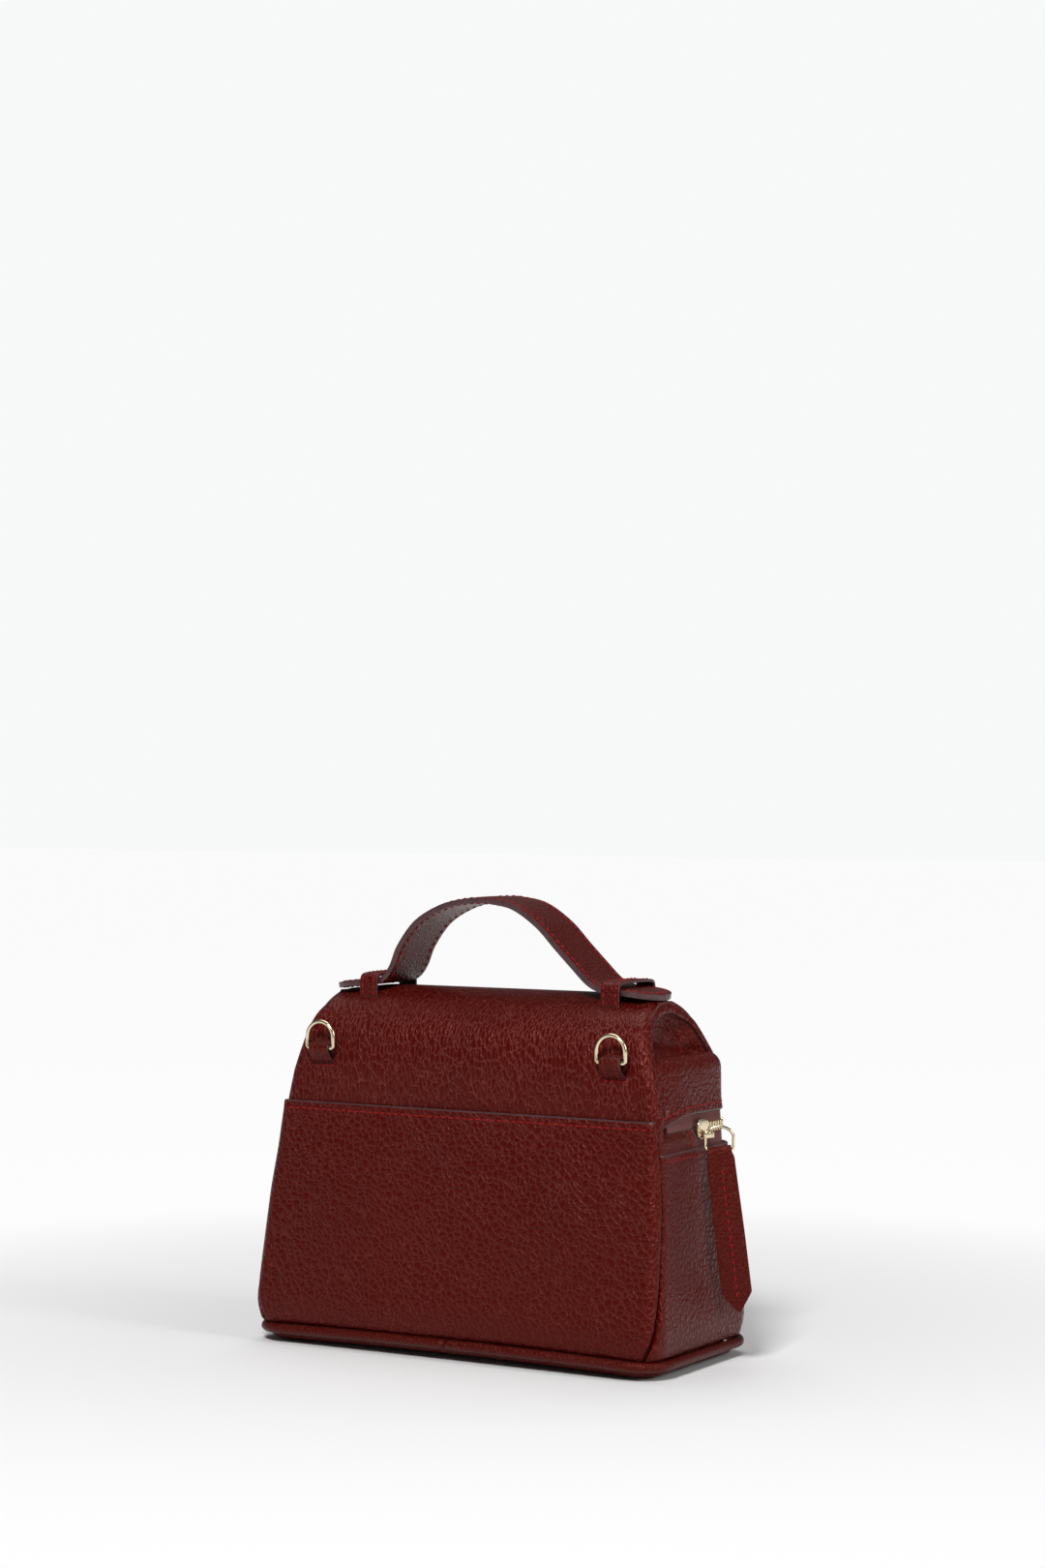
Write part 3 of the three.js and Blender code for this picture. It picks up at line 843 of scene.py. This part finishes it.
def teeth(name, body, z_root, z_tip, phase):
    """Single metal teeth clamped on the tape's edge, half a pitch out of step with the other tape's."""
    run = ZipRun(2.3)
    pitch, first, bare_end = 2.5, 33.5, 8
    rise = 1 if z_tip > z_root else -1
    height = abs(z_tip - z_root)
    left_half = [(-1.15, 0.0), (-1.15, 0.62), (-0.85, 0.8), (-0.55, 1.0)]
    profile = left_half + [(-depth, up) for depth, up in reversed(left_half)]
    parts = []
    count = int((run.length - first - 0.5 - bare_end) / pitch)
    for i in range(count):
        x, y, nx, ny = run.at(first + (i + phase) * pitch)
        centre, out, along = Vector((x, y, 0)), Vector((nx, ny, 0)), Vector((-ny, nx, 0))
        points = []
        for half in (-0.56, 0.56):
            for depth, up in profile:
                narrow = 1 - 0.22 * max(0, up - 0.6)
                points.append(centre + out * (depth * 0.95) + along * (half * narrow)
                              + Vector((0, 0, z_root + rise * height * up)))
        parts.append((points, prism_faces(len(profile))))
    points, faces = join(*parts)
    obj = mesh_object(name, points, faces, body, [METAL])
    fix_normals(obj)
    bevel(obj, 0.14, 2)
    return obj


def build_zip():
    for label, body, z0, z1 in (("lower", "body", LOWER_EDGE - 3.5, ZIP_Z - 0.25),
                                ("upper", "lid", ZIP_Z + 0.25, LID_EDGE + 3.0)):
        tape = outward_sheet(f"zip_tape_{label}_cloth", tape_surface(z0, z1, 2.35), 200, 8, body,
                             [TAPE], (0, 0, ZIP_Z))
        thicken(tape, 0.6)
        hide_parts(f"zip_tape_{label}")
    for label, body, rise, phase in (("lower", "body", 1, 0.0), ("upper", "lid", -1, 0.5)):
        row = teeth(f"zip_teeth_{label}_metal", body, ZIP_Z - 2.5 * rise, ZIP_Z + 0.75 * rise, phase)
        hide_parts(f"zip_teeth_{label}")


def plate(outline, x0, x1, centre):
    """A flat plate of the given y, z outline between two x positions."""
    points = [Vector((x, centre[0] + y, centre[1] + z)) for x in (x0, x1) for y, z in outline]
    return points, prism_faces(len(outline))


def build_slider():
    a = table_at(SECTIONS, ZIP_Z)[1]
    centre = (SLIDER_Y, ZIP_Z)
    lower_half = [(-5.1, -3.4), (-3.4, -3.9), (0.6, -4.7), (3.0, -4.6), (4.6, -3.2), (5.2, -1.4)]
    shield = lower_half + [(y, -z) for y, z in reversed(lower_half)]
    flange = [(-4.9, 3.2), (-3.4, 3.8), (0.6, 4.6), (3.0, 4.5), (3.0, 3.8), (0.6, 3.9), (-3.4, 3.1),
              (-4.9, 2.6)]
    parts = [
        plate(shield, -(a - 0.6), -(a + 0.7), centre),
        plate([(y * 0.9, z * 0.42) for y, z in shield], -(a - 3.5), -(a - 4.0), centre),
        plate([(3.0, -0.28), (4.4, -0.2), (4.4, 0.2), (3.0, 0.28)], -(a - 4.0), -(a - 0.4), centre),
        plate(flange, -(a - 1.0), -(a - 0.2), centre),
        plate([(y, -z) for y, z in flange], -(a - 1.0), -(a - 0.2), centre),
    ]
    spots = [(0.4, -2.9), (2.6, -2.9), (4.6, -2.1), (5.5, 0.0), (4.6, 2.1), (2.6, 2.9), (0.4, 2.9)]
    arch = Curve([(-(a + x), SLIDER_Y + y, 108.9) for x, y in spots], 60)
    path = [arch.at(i / 24) for i in range(25)]
    band = [(-1.45, -0.5), (-1.1, -0.62), (1.1, -0.62), (1.45, -0.5), (1.45, 0.5), (1.1, 0.62), (-1.1, 0.62),
            (-1.45, 0.5)]
    out = [(y, x) for x, y in band]
    parts.append(sweep(path, out, up=(0, 0, 1)))
    points, faces = join(*parts)
    obj = mesh_object("zip_slider_metal", points, faces, "slider", [METAL])
    fix_normals(obj)
    bevel(obj, 0.3, 3)
    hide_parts("zip_slider")


# The wire loop hangs from the slider's bridge, turned towards the back, and the leather pull from the loop.
PULL_TURN = math.radians(31)
PULL_LEAN = math.radians(7)
PULL_R = Vector((-math.cos(PULL_TURN), -math.sin(PULL_TURN), 0))
PULL_OUT = Vector((-math.sin(PULL_TURN), math.cos(PULL_TURN), 0))
BAR_Z = 101.6
RING_W = 13.4
WIRE_REACH = 3.6
PULL_SHIFT = 1.7
PULL_LENGTH = 77.0
PULL_TIP = 9.0
PULL_TURNOVER = 1.75


def pull_point(r, out, z):
    """A point in the plane the pull hangs in: r from the bridge, out towards the back."""
    a = table_at(SECTIONS, ZIP_Z)[1]
    return Vector((-(a + WIRE_REACH), SLIDER_Y, z)) + PULL_R * (r - PULL_SHIFT) + PULL_OUT * out


def build_pull():
    corner, top = 1.6, 107.8
    spots = [(0, top), (0, 105), (0, BAR_Z + corner), (0.45, BAR_Z + 0.5), (corner, BAR_Z)]
    spots += [(RING_W / 2, BAR_Z), (RING_W - corner, BAR_Z), (RING_W - 0.45, BAR_Z + 0.5),
              (RING_W, BAR_Z + corner), (RING_W, 105), (RING_W, top)]
    for i in range(1, 16):
        angle = math.pi * i / 16
        spots.append((RING_W / 2 * (1 + math.cos(angle)), top + 4.8 * math.sin(angle)))
    ring = wire("pull_loop_metal", [pull_point(r, 0, z) for r, z in spots], 0.72, "pull_loop", closed=True)
    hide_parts("pull_ring")

    def half_width(d):
        wide = mix(5.7, 6.7, smooth((d - 0.5) / 4)) + 0.4 * smooth((d - 4) / 40)
        left = PULL_LENGTH - d
        if left < PULL_TIP:
            wide *= max(0.05, (left / PULL_TIP) ** 0.92 * 0.93 + 0.07)
        return wide

    def centre(d, lateral, out):
        sway = 0.9 * math.sin(d / PULL_LENGTH * math.pi)
        flat = Vector((math.sin(PULL_LEAN) * d + lateral * math.cos(PULL_LEAN), 0,
                       -math.cos(PULL_LEAN) * d + lateral * math.sin(PULL_LEAN)))
        return pull_point(RING_W / 2 + flat.x, out + sway, BAR_Z + flat.z)

    def half_thick(d):
        return mix(1.75, 1.1, smooth((d - 1) / 7))

    rows, columns = 84, 12

    def face(sign):
        def surface(u, v):
            d = -PULL_TURNOVER + (PULL_LENGTH + PULL_TURNOVER) * v
            rounding = math.sqrt(max(0.02, 1 - clamp(-d / 1.8) ** 2)) if d < 0 else 1.0
            return centre(d, (2 * u - 1) * half_width(max(d, 0)), sign * half_thick(max(d, 0)) * rounding)
        return surface

    front, back = grid(face(1), columns, rows), grid(face(-1), columns, rows)
    points = front[0] + back[0]
    base = len(front[0])
    faces = list(front[1]) + [tuple(base + k for k in reversed(f)) for f in back[1]]
    indices = [0] * len(faces)
    edge = [j * (columns + 1) for j in range(rows + 1)]
    edge += [rows * (columns + 1) + i for i in range(1, columns + 1)]
    edge += [j * (columns + 1) + columns for j in range(rows - 1, -1, -1)]
    edge += [i for i in range(columns - 1, 0, -1)]
    for p, q in zip(edge, edge[1:] + edge[:1]):
        faces.append((p, q, base + q, base + p))
        indices.append(1 if max(p, q) > columns else 0)
    tab = mesh_object("pull_tab_leather", points, faces, "pull", [LEATHER_FINE, EDGE], indices)
    fix_normals(tab)
    bevel(tab, 0.3)
    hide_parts("pull_tab")
    for sign, label in ((1, "outer"), (-1, "inner")):
        stitches(f"stitching_pull_tab_{label}", face(sign), lambda t: (0.5, 0.13 + 0.79 * t), "pull",
                 inside=pull_point(14, 0, 60), pitch=3.8)


# ---------------------------------------------------------------- lid
PROFILE = Curve([(0, 36.7, 109), (0, 36.1, 119), (0, 34.8, 132), (0, 32.8, 145), (0, 29, 157), (0, 19.5, 168),
                 (0, 8.5, 173.6), (0, 0, CROWN_Z), (0, -8.5, 173.6), (0, -19.9, 168), (0, -29.3, 157.5),
                 (0, -36.6, RIDGE_Z + 1.6)], 600)
LID_BEND = ("body", "lid", (0, 0.0375, 0.113), (0, 0.0355, 0.129))
HALF_WIDTHS = [(100, 105.6), (119, 105.2), (133, 102.7), (145, 99.2), (157, 96), (168, 93), (180, 90)]


def lid_half(z):
    return table_at(HALF_WIDTHS, z)[1]


def profile_spot(z, low, high):
    """Where along the profile the height z is reached, between a lower and a higher spot."""
    for _ in range(24):
        mid = (low + high) / 2
        if PROFILE.at(mid).z < z:
            low = mid
        else:
            high = mid
    return low


def profile_out(p, along):
    """The direction out of the lid at a point of its profile."""
    out = Vector((0, along.z, -along.y))
    return out if out.dot(p - Vector((0, 0, 140))) > 0 else -out


def lid_surface(u, v):
    """The leather that runs from the pocket over the crown to the front ridge, its side edges turned in."""
    p, along = PROFILE.at(v), PROFILE.along(v)
    half = lid_half(p.z)
    flat = half - HEM
    x = (flat + HEM * HEM_TURN) * ease(u)
    depth = 0.0
    if abs(x) > flat:
        angle = (abs(x) - flat) / HEM
        depth = HEM * (1 - math.cos(angle))
        x = math.copysign(flat + HEM * math.sin(angle), x)
    puff = 0.9 * smooth((half - abs(x)) / 40) * math.sin(math.pi * clamp((p.z - 118) / 50))
    ripple = 0.25 * math.sin(x * 0.11 + v * 9) * smooth((p.z - 120) / 20) * smooth((173 - p.z) / 6)
    droop = 2.5 * smooth((abs(x) - 62) / 30) * smooth((p.z - 160) / 12)
    return Vector((x, 0, -droop)) + p + profile_out(p, along) * (puff + ripple - depth)


def gusset_rear(z):
    """How far back the lid's side leather reaches at this height."""
    return mix(33.6, 30.2, clamp((z - 118) / 27))


def lid_side(side):
    """The band at the lid's end, from the zip up to the fold ridge, wrapping the front corner."""
    def surface(u, v):
        a, b, r = table_at(LID_SECTIONS, mix(LID_EDGE, RIDGE_Z, v))[1:4]
        rear = gusset_rear(mix(LID_EDGE, RIDGE_Z, v))
        flat = rear + b - r
        s = u * (flat + math.pi / 2 * r)
        z0 = LID_EDGE - 7.0 * clamp(1 - s / 36) ** 2
        curl = clamp((v - 0.7) / 0.3)
        z = mix(z0, RIDGE_Z - 6.1, min(v / 0.7, 1)) + 7.0 * math.sin(curl * math.pi / 2)
        if s < flat:
            x, y, nx, ny = a, rear - s, 1.0, 0.0
        else:
            angle = (s - flat) / r
            x, y = a - r + r * math.cos(angle), -(b - r) - r * math.sin(angle)
            nx, ny = math.cos(angle), -math.sin(angle)
        push = smooth(v) * (1.2 * smooth(s / 20) + 2.2 * smooth((s - 22) / 25)) - 2.6 * clamp(1 - s / 26) ** 2
        push -= 6.2 * (1 - math.cos(curl * math.pi / 2)) + roll(flat + math.pi / 2 * r - s, 3.2)
        push += 0.5 * math.sin(s * 0.22 + v * 3) * smooth(v)
        return Vector((side * (x + nx * push), y + ny * push, z))
    return surface


def gore(side):
    """The sunken leather under the arch, above the fold ridge."""
    crown_spot = 0.56
    rows = {}

    def surface(u, v):
        z = mix(141.0, 171.5, v)
        key = round(z, 4)
        if key not in rows:
            rear_spot = profile_spot(max(z, 146.6) + 2.6, 0.18, crown_spot)
            front_spot = profile_spot(max(z, 146.8) + 2.6, 1.0, crown_spot)
            rows[key] = (PROFILE.at(rear_spot).y - 2.2, PROFILE.at(front_spot).y + 2.2)
        rear, front = rows[key]
        if z < 146:
            rear = gusset_rear(z) - 1.5
        y = mix(rear, front, u)
        edge = min(rear - y, y - front)
        sink = 1.4 + 6.2 * smooth(edge / 13) * math.sin(math.pi * clamp((z - 138) / 36))
        fold = math.exp(-(((z - 152) - 0.22 * (y - 4)) / 3.2) ** 2) * smooth(edge / 8)
        crease = 0.7 * math.sin(y * 0.42 + z * 0.25) * smooth(edge / 10)
        x = lid_half(z) - sink - 2.2 * fold - 0.6 * crease
        return Vector((side * x, y, z))
    return surface


def build_lid():
    panel = leather_sheet("lid_top_leather", lid_surface, 110, 110, LID_BEND, inside=LID_HEART,
                          material=LEATHER_LID)
    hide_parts("lid_top_panel")

    band = front_surface(LID_EDGE, RIDGE_Z + 0.6, table=LID_SECTIONS, puff=0.8, foot_roll=0, top_roll=3.2)
    panel = leather_sheet("lid_front_leather", band, 110, 22, "lid", inside=LID_HEART)
    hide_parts("lid_front_band")
    stitches("stitching_lid_front_edge", band, lambda t: (0.02 + 0.96 * t, 2.4 / 26), "lid", LID_HEART)
    bead("painted_edge_lid_front", band, lambda t: (0.002 + 0.996 * t, 0), "lid", LID_HEART)

    for side, label in ((1, "left"), (-1, "right")):
        surface = lid_side(side)
        panel = leather_sheet(f"lid_gusset_band_{label}", surface, 60, 40, "lid", inside=LID_HEART)
        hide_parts(f"lid_gusset_{label}")
        stitches(f"stitching_lid_gusset_{label}", surface, lambda t: (0.03 + 0.93 * t, 0.1), "lid",
                 inside=LID_HEART)
        bead(f"painted_edge_lid_{label}", surface, lambda t: (0.02 + 0.975 * t, 0), "lid", inside=LID_HEART)
        sunken = outward_sheet(f"lid_gore_{label}", gore(side), 60, 50, "lid", [LEATHER_MAIN],
                               (0, 0, 150))
        thicken(sunken, 1.2)

    def lining(u, v):
        v = mix(0.14, 0.985, v)
        p, along = PROFILE.at(v), PROFILE.along(v)
        return Vector(((lid_half(p.z) - 12) * (1 - 2 * u), 0, 0)) + p - profile_out(p, along) * 2.6
    points, faces = grid(lining, 60, 60)
    cloth = mesh_object("lid_lining_cloth", points, faces, "lid", [LINING])
    thicken(cloth, 0.5, 0)
    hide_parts("lid_lining")


# ---------------------------------------------------------------- D-rings
def build_rings():
    """The D-rings, each held by a leather tab that is folded round its bar and sewn to the lid."""
    low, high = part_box("d_ring_left")
    bar_y = (low[1] + high[1]) / 2 / MM
    bar_z = low[2] / MM + 1.0
    centre_x = (low[0] + high[0]) / 2 / MM
    arm, bow_z = 7.6, 5.2
    bow = [(arm * math.cos(math.pi * i / 20), bow_z + arm * math.sin(math.pi * i / 20)) for i in range(21)]
    spots = [(-7.0, 0.0), (-2.5, 0.0), (2.5, 0.0), (7.0, 0.0), (arm, 0.7), *bow, (-arm, 0.7)]
    for side, label in ((1, "left"), (-1, "right")):
        x0 = side * centre_x
        ring = wire(f"d_ring_{label}_metal", [(x0 + x, bar_y, bar_z + z) for x, z in spots], 1.02,
                    f"ring_{label}", closed=True, count=18)
        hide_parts(f"d_ring_{label}")
        shape = [(33.4, -7.6), (36.4, -6.8), (38.4, -4.6), (bar_y + 1.9, -2.2), (bar_y + 2.45, 0.0),
                 (bar_y + 1.4, 2.1), (bar_y - 0.8, 2.6), (35.0, 2.9), (32.2, 3.4)]
        fold = Curve([(0, y, bar_z + z) for y, z in shape], 120)

        def wrap(u, v, fold=fold, x0=x0):
            p = fold.at(v)
            return Vector((x0 + 5.5 * (1 - 2 * u), p.y, p.z))
        tab = leather_sheet(f"d_ring_tab_{label}_leather", wrap, 10, 40, "lid", thick=1.2,
                            inside=(x0, bar_y - 2, bar_z), material=LEATHER_FINE)
        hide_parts(f"d_ring_tab_{label}")
        for u in (0.22, 0.78):
            row = "inner" if (u < 0.5) == (side > 0) else "outer"
            stitches(f"stitching_ring_tab_{label}_{row}", wrap, lambda t, u=u: (u, 0.12 + 0.46 * t), "lid",
                     inside=(x0, bar_y - 2, bar_z), pitch=2.6, length=2.0, radius=0.28)

        def patch(u, v, x0=x0):
            """The lid's surface round the row of stitches under the tab."""
            x = x0 + 6.2 * (1 - 2 * u)
            z = mix(134.4, 138.4, v)
            across = 0.5 - math.asin(clamp(x / (lid_half(z) + HEM * (HEM_TURN - 1)), -1, 1)) / math.pi
            return lid_surface(across, profile_spot(z, 0.05, 0.5))
        stitches(f"stitching_under_ring_{label}", patch, lambda t: (t, 0.4), "lid", inside=LID_HEART,
                 pitch=3.1, length=2.4)


# ---------------------------------------------------------------- handle
HANDLE_LEFT = [(0, 218), (13, 217.3), (26.6, 214), (40.5, 206.3), (50.3, 194.4), (55, 184.2), (60, 178.3),
               (67, 176.4), (80, 175.3), (93.2, 173.3)]
HANDLE_RIGHT = [(0, 218), (-14.8, 215.2), (-28.6, 206.8), (-39.6, 196.1), (-48.8, 187.3), (-56.5, 180.2),
                (-63, 177), (-70, 176.2), (-80, 175.2), (-90.8, 173.3)]
END_REACH = 14.0


def strap_surface(curve, top):
    """One face of the strap: u runs along it, v across it."""
    def surface(u, v):
        u = min(u, 0.9995)
        p, along = curve.at(u), curve.along(u)
        left = curve.length * (1 - u)
        half = STRAP_W / 2
        if left < END_REACH:
            half *= math.sqrt(max(0.0, 1 - (1 - left / END_REACH) ** 2))
        up = Vector((-along.z, 0, along.x))
        if up.z < 0:
            up = -up
        y = half * (2 * v - 1)
        crown = 0.35 * (1 - (2 * v - 1) ** 2)
        thick = STRAP_T / 2 * (1 if top else -1)
        return p + up * (thick + (crown if top else -0.3 * crown)) + Vector((0, y, 0))
    return surface


def strap_half(name, curve, body):
    """Half of the strap, from mid handle to its rounded end."""
    rows, columns = 150, 14

    def along(i):
        t = i / rows
        return t if t < 0.86 else 0.86 + 0.14 * math.sin((t - 0.86) / 0.14 * math.pi / 2)

    def outline(u):
        top, under = strap_surface(curve, True), strap_surface(curve, False)
        upper = [top(u, j / columns) for j in range(columns + 1)]
        lower = [under(u, j / columns) for j in range(columns, -1, -1)]
        return upper + lower
    points = []
    for i in range(rows + 1):
        points += outline(along(i))
    around = 2 * (columns + 1)
    faces = tube_faces(rows + 1, around)
    indices = [1 if k in (columns, around - 1) else 0 for _ in range(rows) for k in range(around)]
    last = rows * around
    for j in range(columns):
        faces.append((last + j, last + j + 1, last + around - 2 - j, last + around - 1 - j))
        indices.append(1)
    obj = mesh_object(name, points, faces, body, [LEATHER_FINE, EDGE], indices)
    fix_normals(obj)
    bevel(obj, 0.35, 3)
    return obj


def strap_row(curve):
    """A path just inside the strap's edge: out along one edge, round the end and back."""
    straight = 1 - END_REACH / curve.length
    inset = 2.6

    def path(t):
        if t < 0.42:
            return straight * t / 0.42, inset / STRAP_W
        if t > 0.58:
            return straight * (1 - t) / 0.42, 1 - inset / STRAP_W
        angle = (t - 0.42) / 0.16 * math.pi
        u = straight + (1 - straight) * (1 - inset / END_REACH) * math.sin(angle)
        left = curve.length * (1 - u)
        half = STRAP_W / 2
        if left < END_REACH:
            half *= math.sqrt(max(0.01, 1 - (1 - left / END_REACH) ** 2))
        y = -(STRAP_W / 2 - inset) * math.cos(angle)
        return u, 0.5 + clamp(y / (2 * half), -0.49, 0.49)
    return path


def build_handle():
    """The strap in two halves, each running from the arch to its sliding end, and the two loops."""
    bends = {"left": ((0.041, 0, 0.2), (0.066, 0, 0.1745)),
             "right": ((-0.04, 0, 0.2005), (-0.0655, 0, 0.1755))}
    for points, label in ((HANDLE_LEFT, "left"), (HANDLE_RIGHT, "right")):
        curve = Curve([(x, 0, z) for x, z in points], 500)
        bend = ("arch", f"strap_end_{label}", *bends[label])
        strap = strap_half(f"handle_strap_{label}", curve, bend)
        nodes = [f"handle_leg_{label}", f"handle_end_{label}"] + (["handle_arch"] if label == "left" else [])
        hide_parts(*nodes)
        for top, face in ((True, "top"), (False, "under")):
            inside = (0, 0, -300) if top else (0, 0, 900)
            stitches(f"stitching_handle_{label}_{face}", strap_surface(curve, top), strap_row(curve), bend,
                     inside=inside)
    for x0, label in ((67, "left"), (-70, "right")):
        spots = [(18.3, 168.2), (18.5, 171.5), (18.4, 176.6), (17.2, 179.8), (12.8, 181.0), (0, 181.2)]
        over = Curve([(0, y, z) for y, z in spots] + [(0, -y, z) for y, z in reversed(spots[:-1])], 300)

        def keeper(u, v, over=over, x0=x0):
            p = over.at(v)
            return Vector((x0 + 5.0 * (1 - 2 * u), p.y, p.z))
        loop = leather_sheet(f"handle_loop_{label}_leather", keeper, 10, 90, "lid", thick=1.5,
                             inside=(x0, 0, 172), material=LEATHER_FINE)
        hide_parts(f"handle_loop_{label}")
        for u, row in ((0.17, "outer"), (0.83, "inner")):
            stitches(f"stitching_handle_loop_{label}_{row}", keeper, lambda t, u=u: (u, 0.02 + 0.96 * t),
                     "lid", inside=(x0, 0, 160), pitch=3.5, length=2.7)


# ---------------------------------------------------------------- stage
def area_light(name, place, size, power):
    """A soft lamp that faces the middle of the bag."""
    data = bpy.data.lights.new(name, "AREA")
    data.shape = "RECTANGLE"
    data.size, data.size_y = size
    data.energy = power
    obj = bpy.data.objects.new(name, data)
    bpy.context.scene.collection.objects.link(obj)
    obj.location = place
    obj.rotation_euler = (Vector((0, 0, 0.1)) - Vector(place)).to_track_quat("-Z", "Y").to_euler()


def paper_material():
    """White studio paper that glows with painted light, more evenly white the further it lies from the bag.
    """
    n = Nodes("studio_paper")
    near, far = 0.04, 0.13
    away = n.add("ShaderNodeVectorMath", operation="LENGTH")
    n.link(n.place((0.25, 0.25, 0.25)), away.inputs[0])
    # Painted light: the paper's glow rises from none near the bag to nearly white further out, while its own
    # colour fades to dark.
    painted_glow = n.ramp(away.outputs["Value"], [(near, (0,) * 3), (far, (0.95,) * 3)])
    paper = n.ramp(away.outputs["Value"], [(near, (0.82,) * 3), (far, (0.03,) * 3)])
    n.feed(painted_glow, "Emission Color")
    n.feed(paper, "Base Color")
    n.set(Emission_Strength=1.0, Roughness=0.8, Specular_IOR_Level=0.1)
    return n.material


def stage_piece(name, corners, material):
    mesh = bpy.data.meshes.new(name)
    mesh.from_pydata(corners, [], [(0, 1, 2, 3)])
    mesh.materials.append(material)
    obj = bpy.data.objects.new(name, mesh)
    bpy.context.scene.collection.objects.link(obj)
    return obj


def build_stage():
    reach = 9.0
    floor = [(-reach, -reach, 0), (reach, -reach, 0), (reach, reach, 0), (-reach, reach, 0)]
    stage_piece("floor", floor, paper_material()).location.z = -0.0002
    bpy.context.scene.view_settings.view_transform = "Standard"

    world = bpy.data.worlds.new("studio")
    bpy.context.scene.world = world
    world.use_nodes = True
    tree = world.node_tree
    background = tree.nodes["Background"]
    background.inputs["Color"].default_value = (0.98, 1.0, 0.99, 1)
    # The backdrop is white to the eye, while the room behind the lamps stays dim.
    path = tree.nodes.new("ShaderNodeLightPath")
    strength = tree.nodes.new("ShaderNodeMapRange")
    strength.inputs["To Min"].default_value = 0.12
    strength.inputs["To Max"].default_value = 0.95
    tree.links.new(path.outputs["Is Camera Ray"], strength.inputs["Value"])
    tree.links.new(strength.outputs["Result"], background.inputs["Strength"])

    area_light("key", (-0.45, 1.35, 1.5), (0.45, 0.45), 31)
    area_light("side", (-1.9, 0.1, 0.9), (0.5, 0.8), 13)
    area_light("top", (0.3, -0.4, 1.7), (1.1, 1.1), 10)


def build_camera():
    data = bpy.data.cameras.new("camera")
    data.lens = 71.1
    data.sensor_width = 36.0
    camera = bpy.data.objects.new("camera", data)
    camera.location = (-0.788, 1.293, 0.2745)
    camera.rotation_euler = (math.pi / 2, 0, math.radians(211))
    bpy.context.scene.collection.objects.link(camera)
    bpy.context.scene.camera = camera


build_body()
build_base()
build_lining()
build_zip()
build_slider()
build_pull()
build_lid()
build_rings()
build_handle()
build_stage()
build_camera()
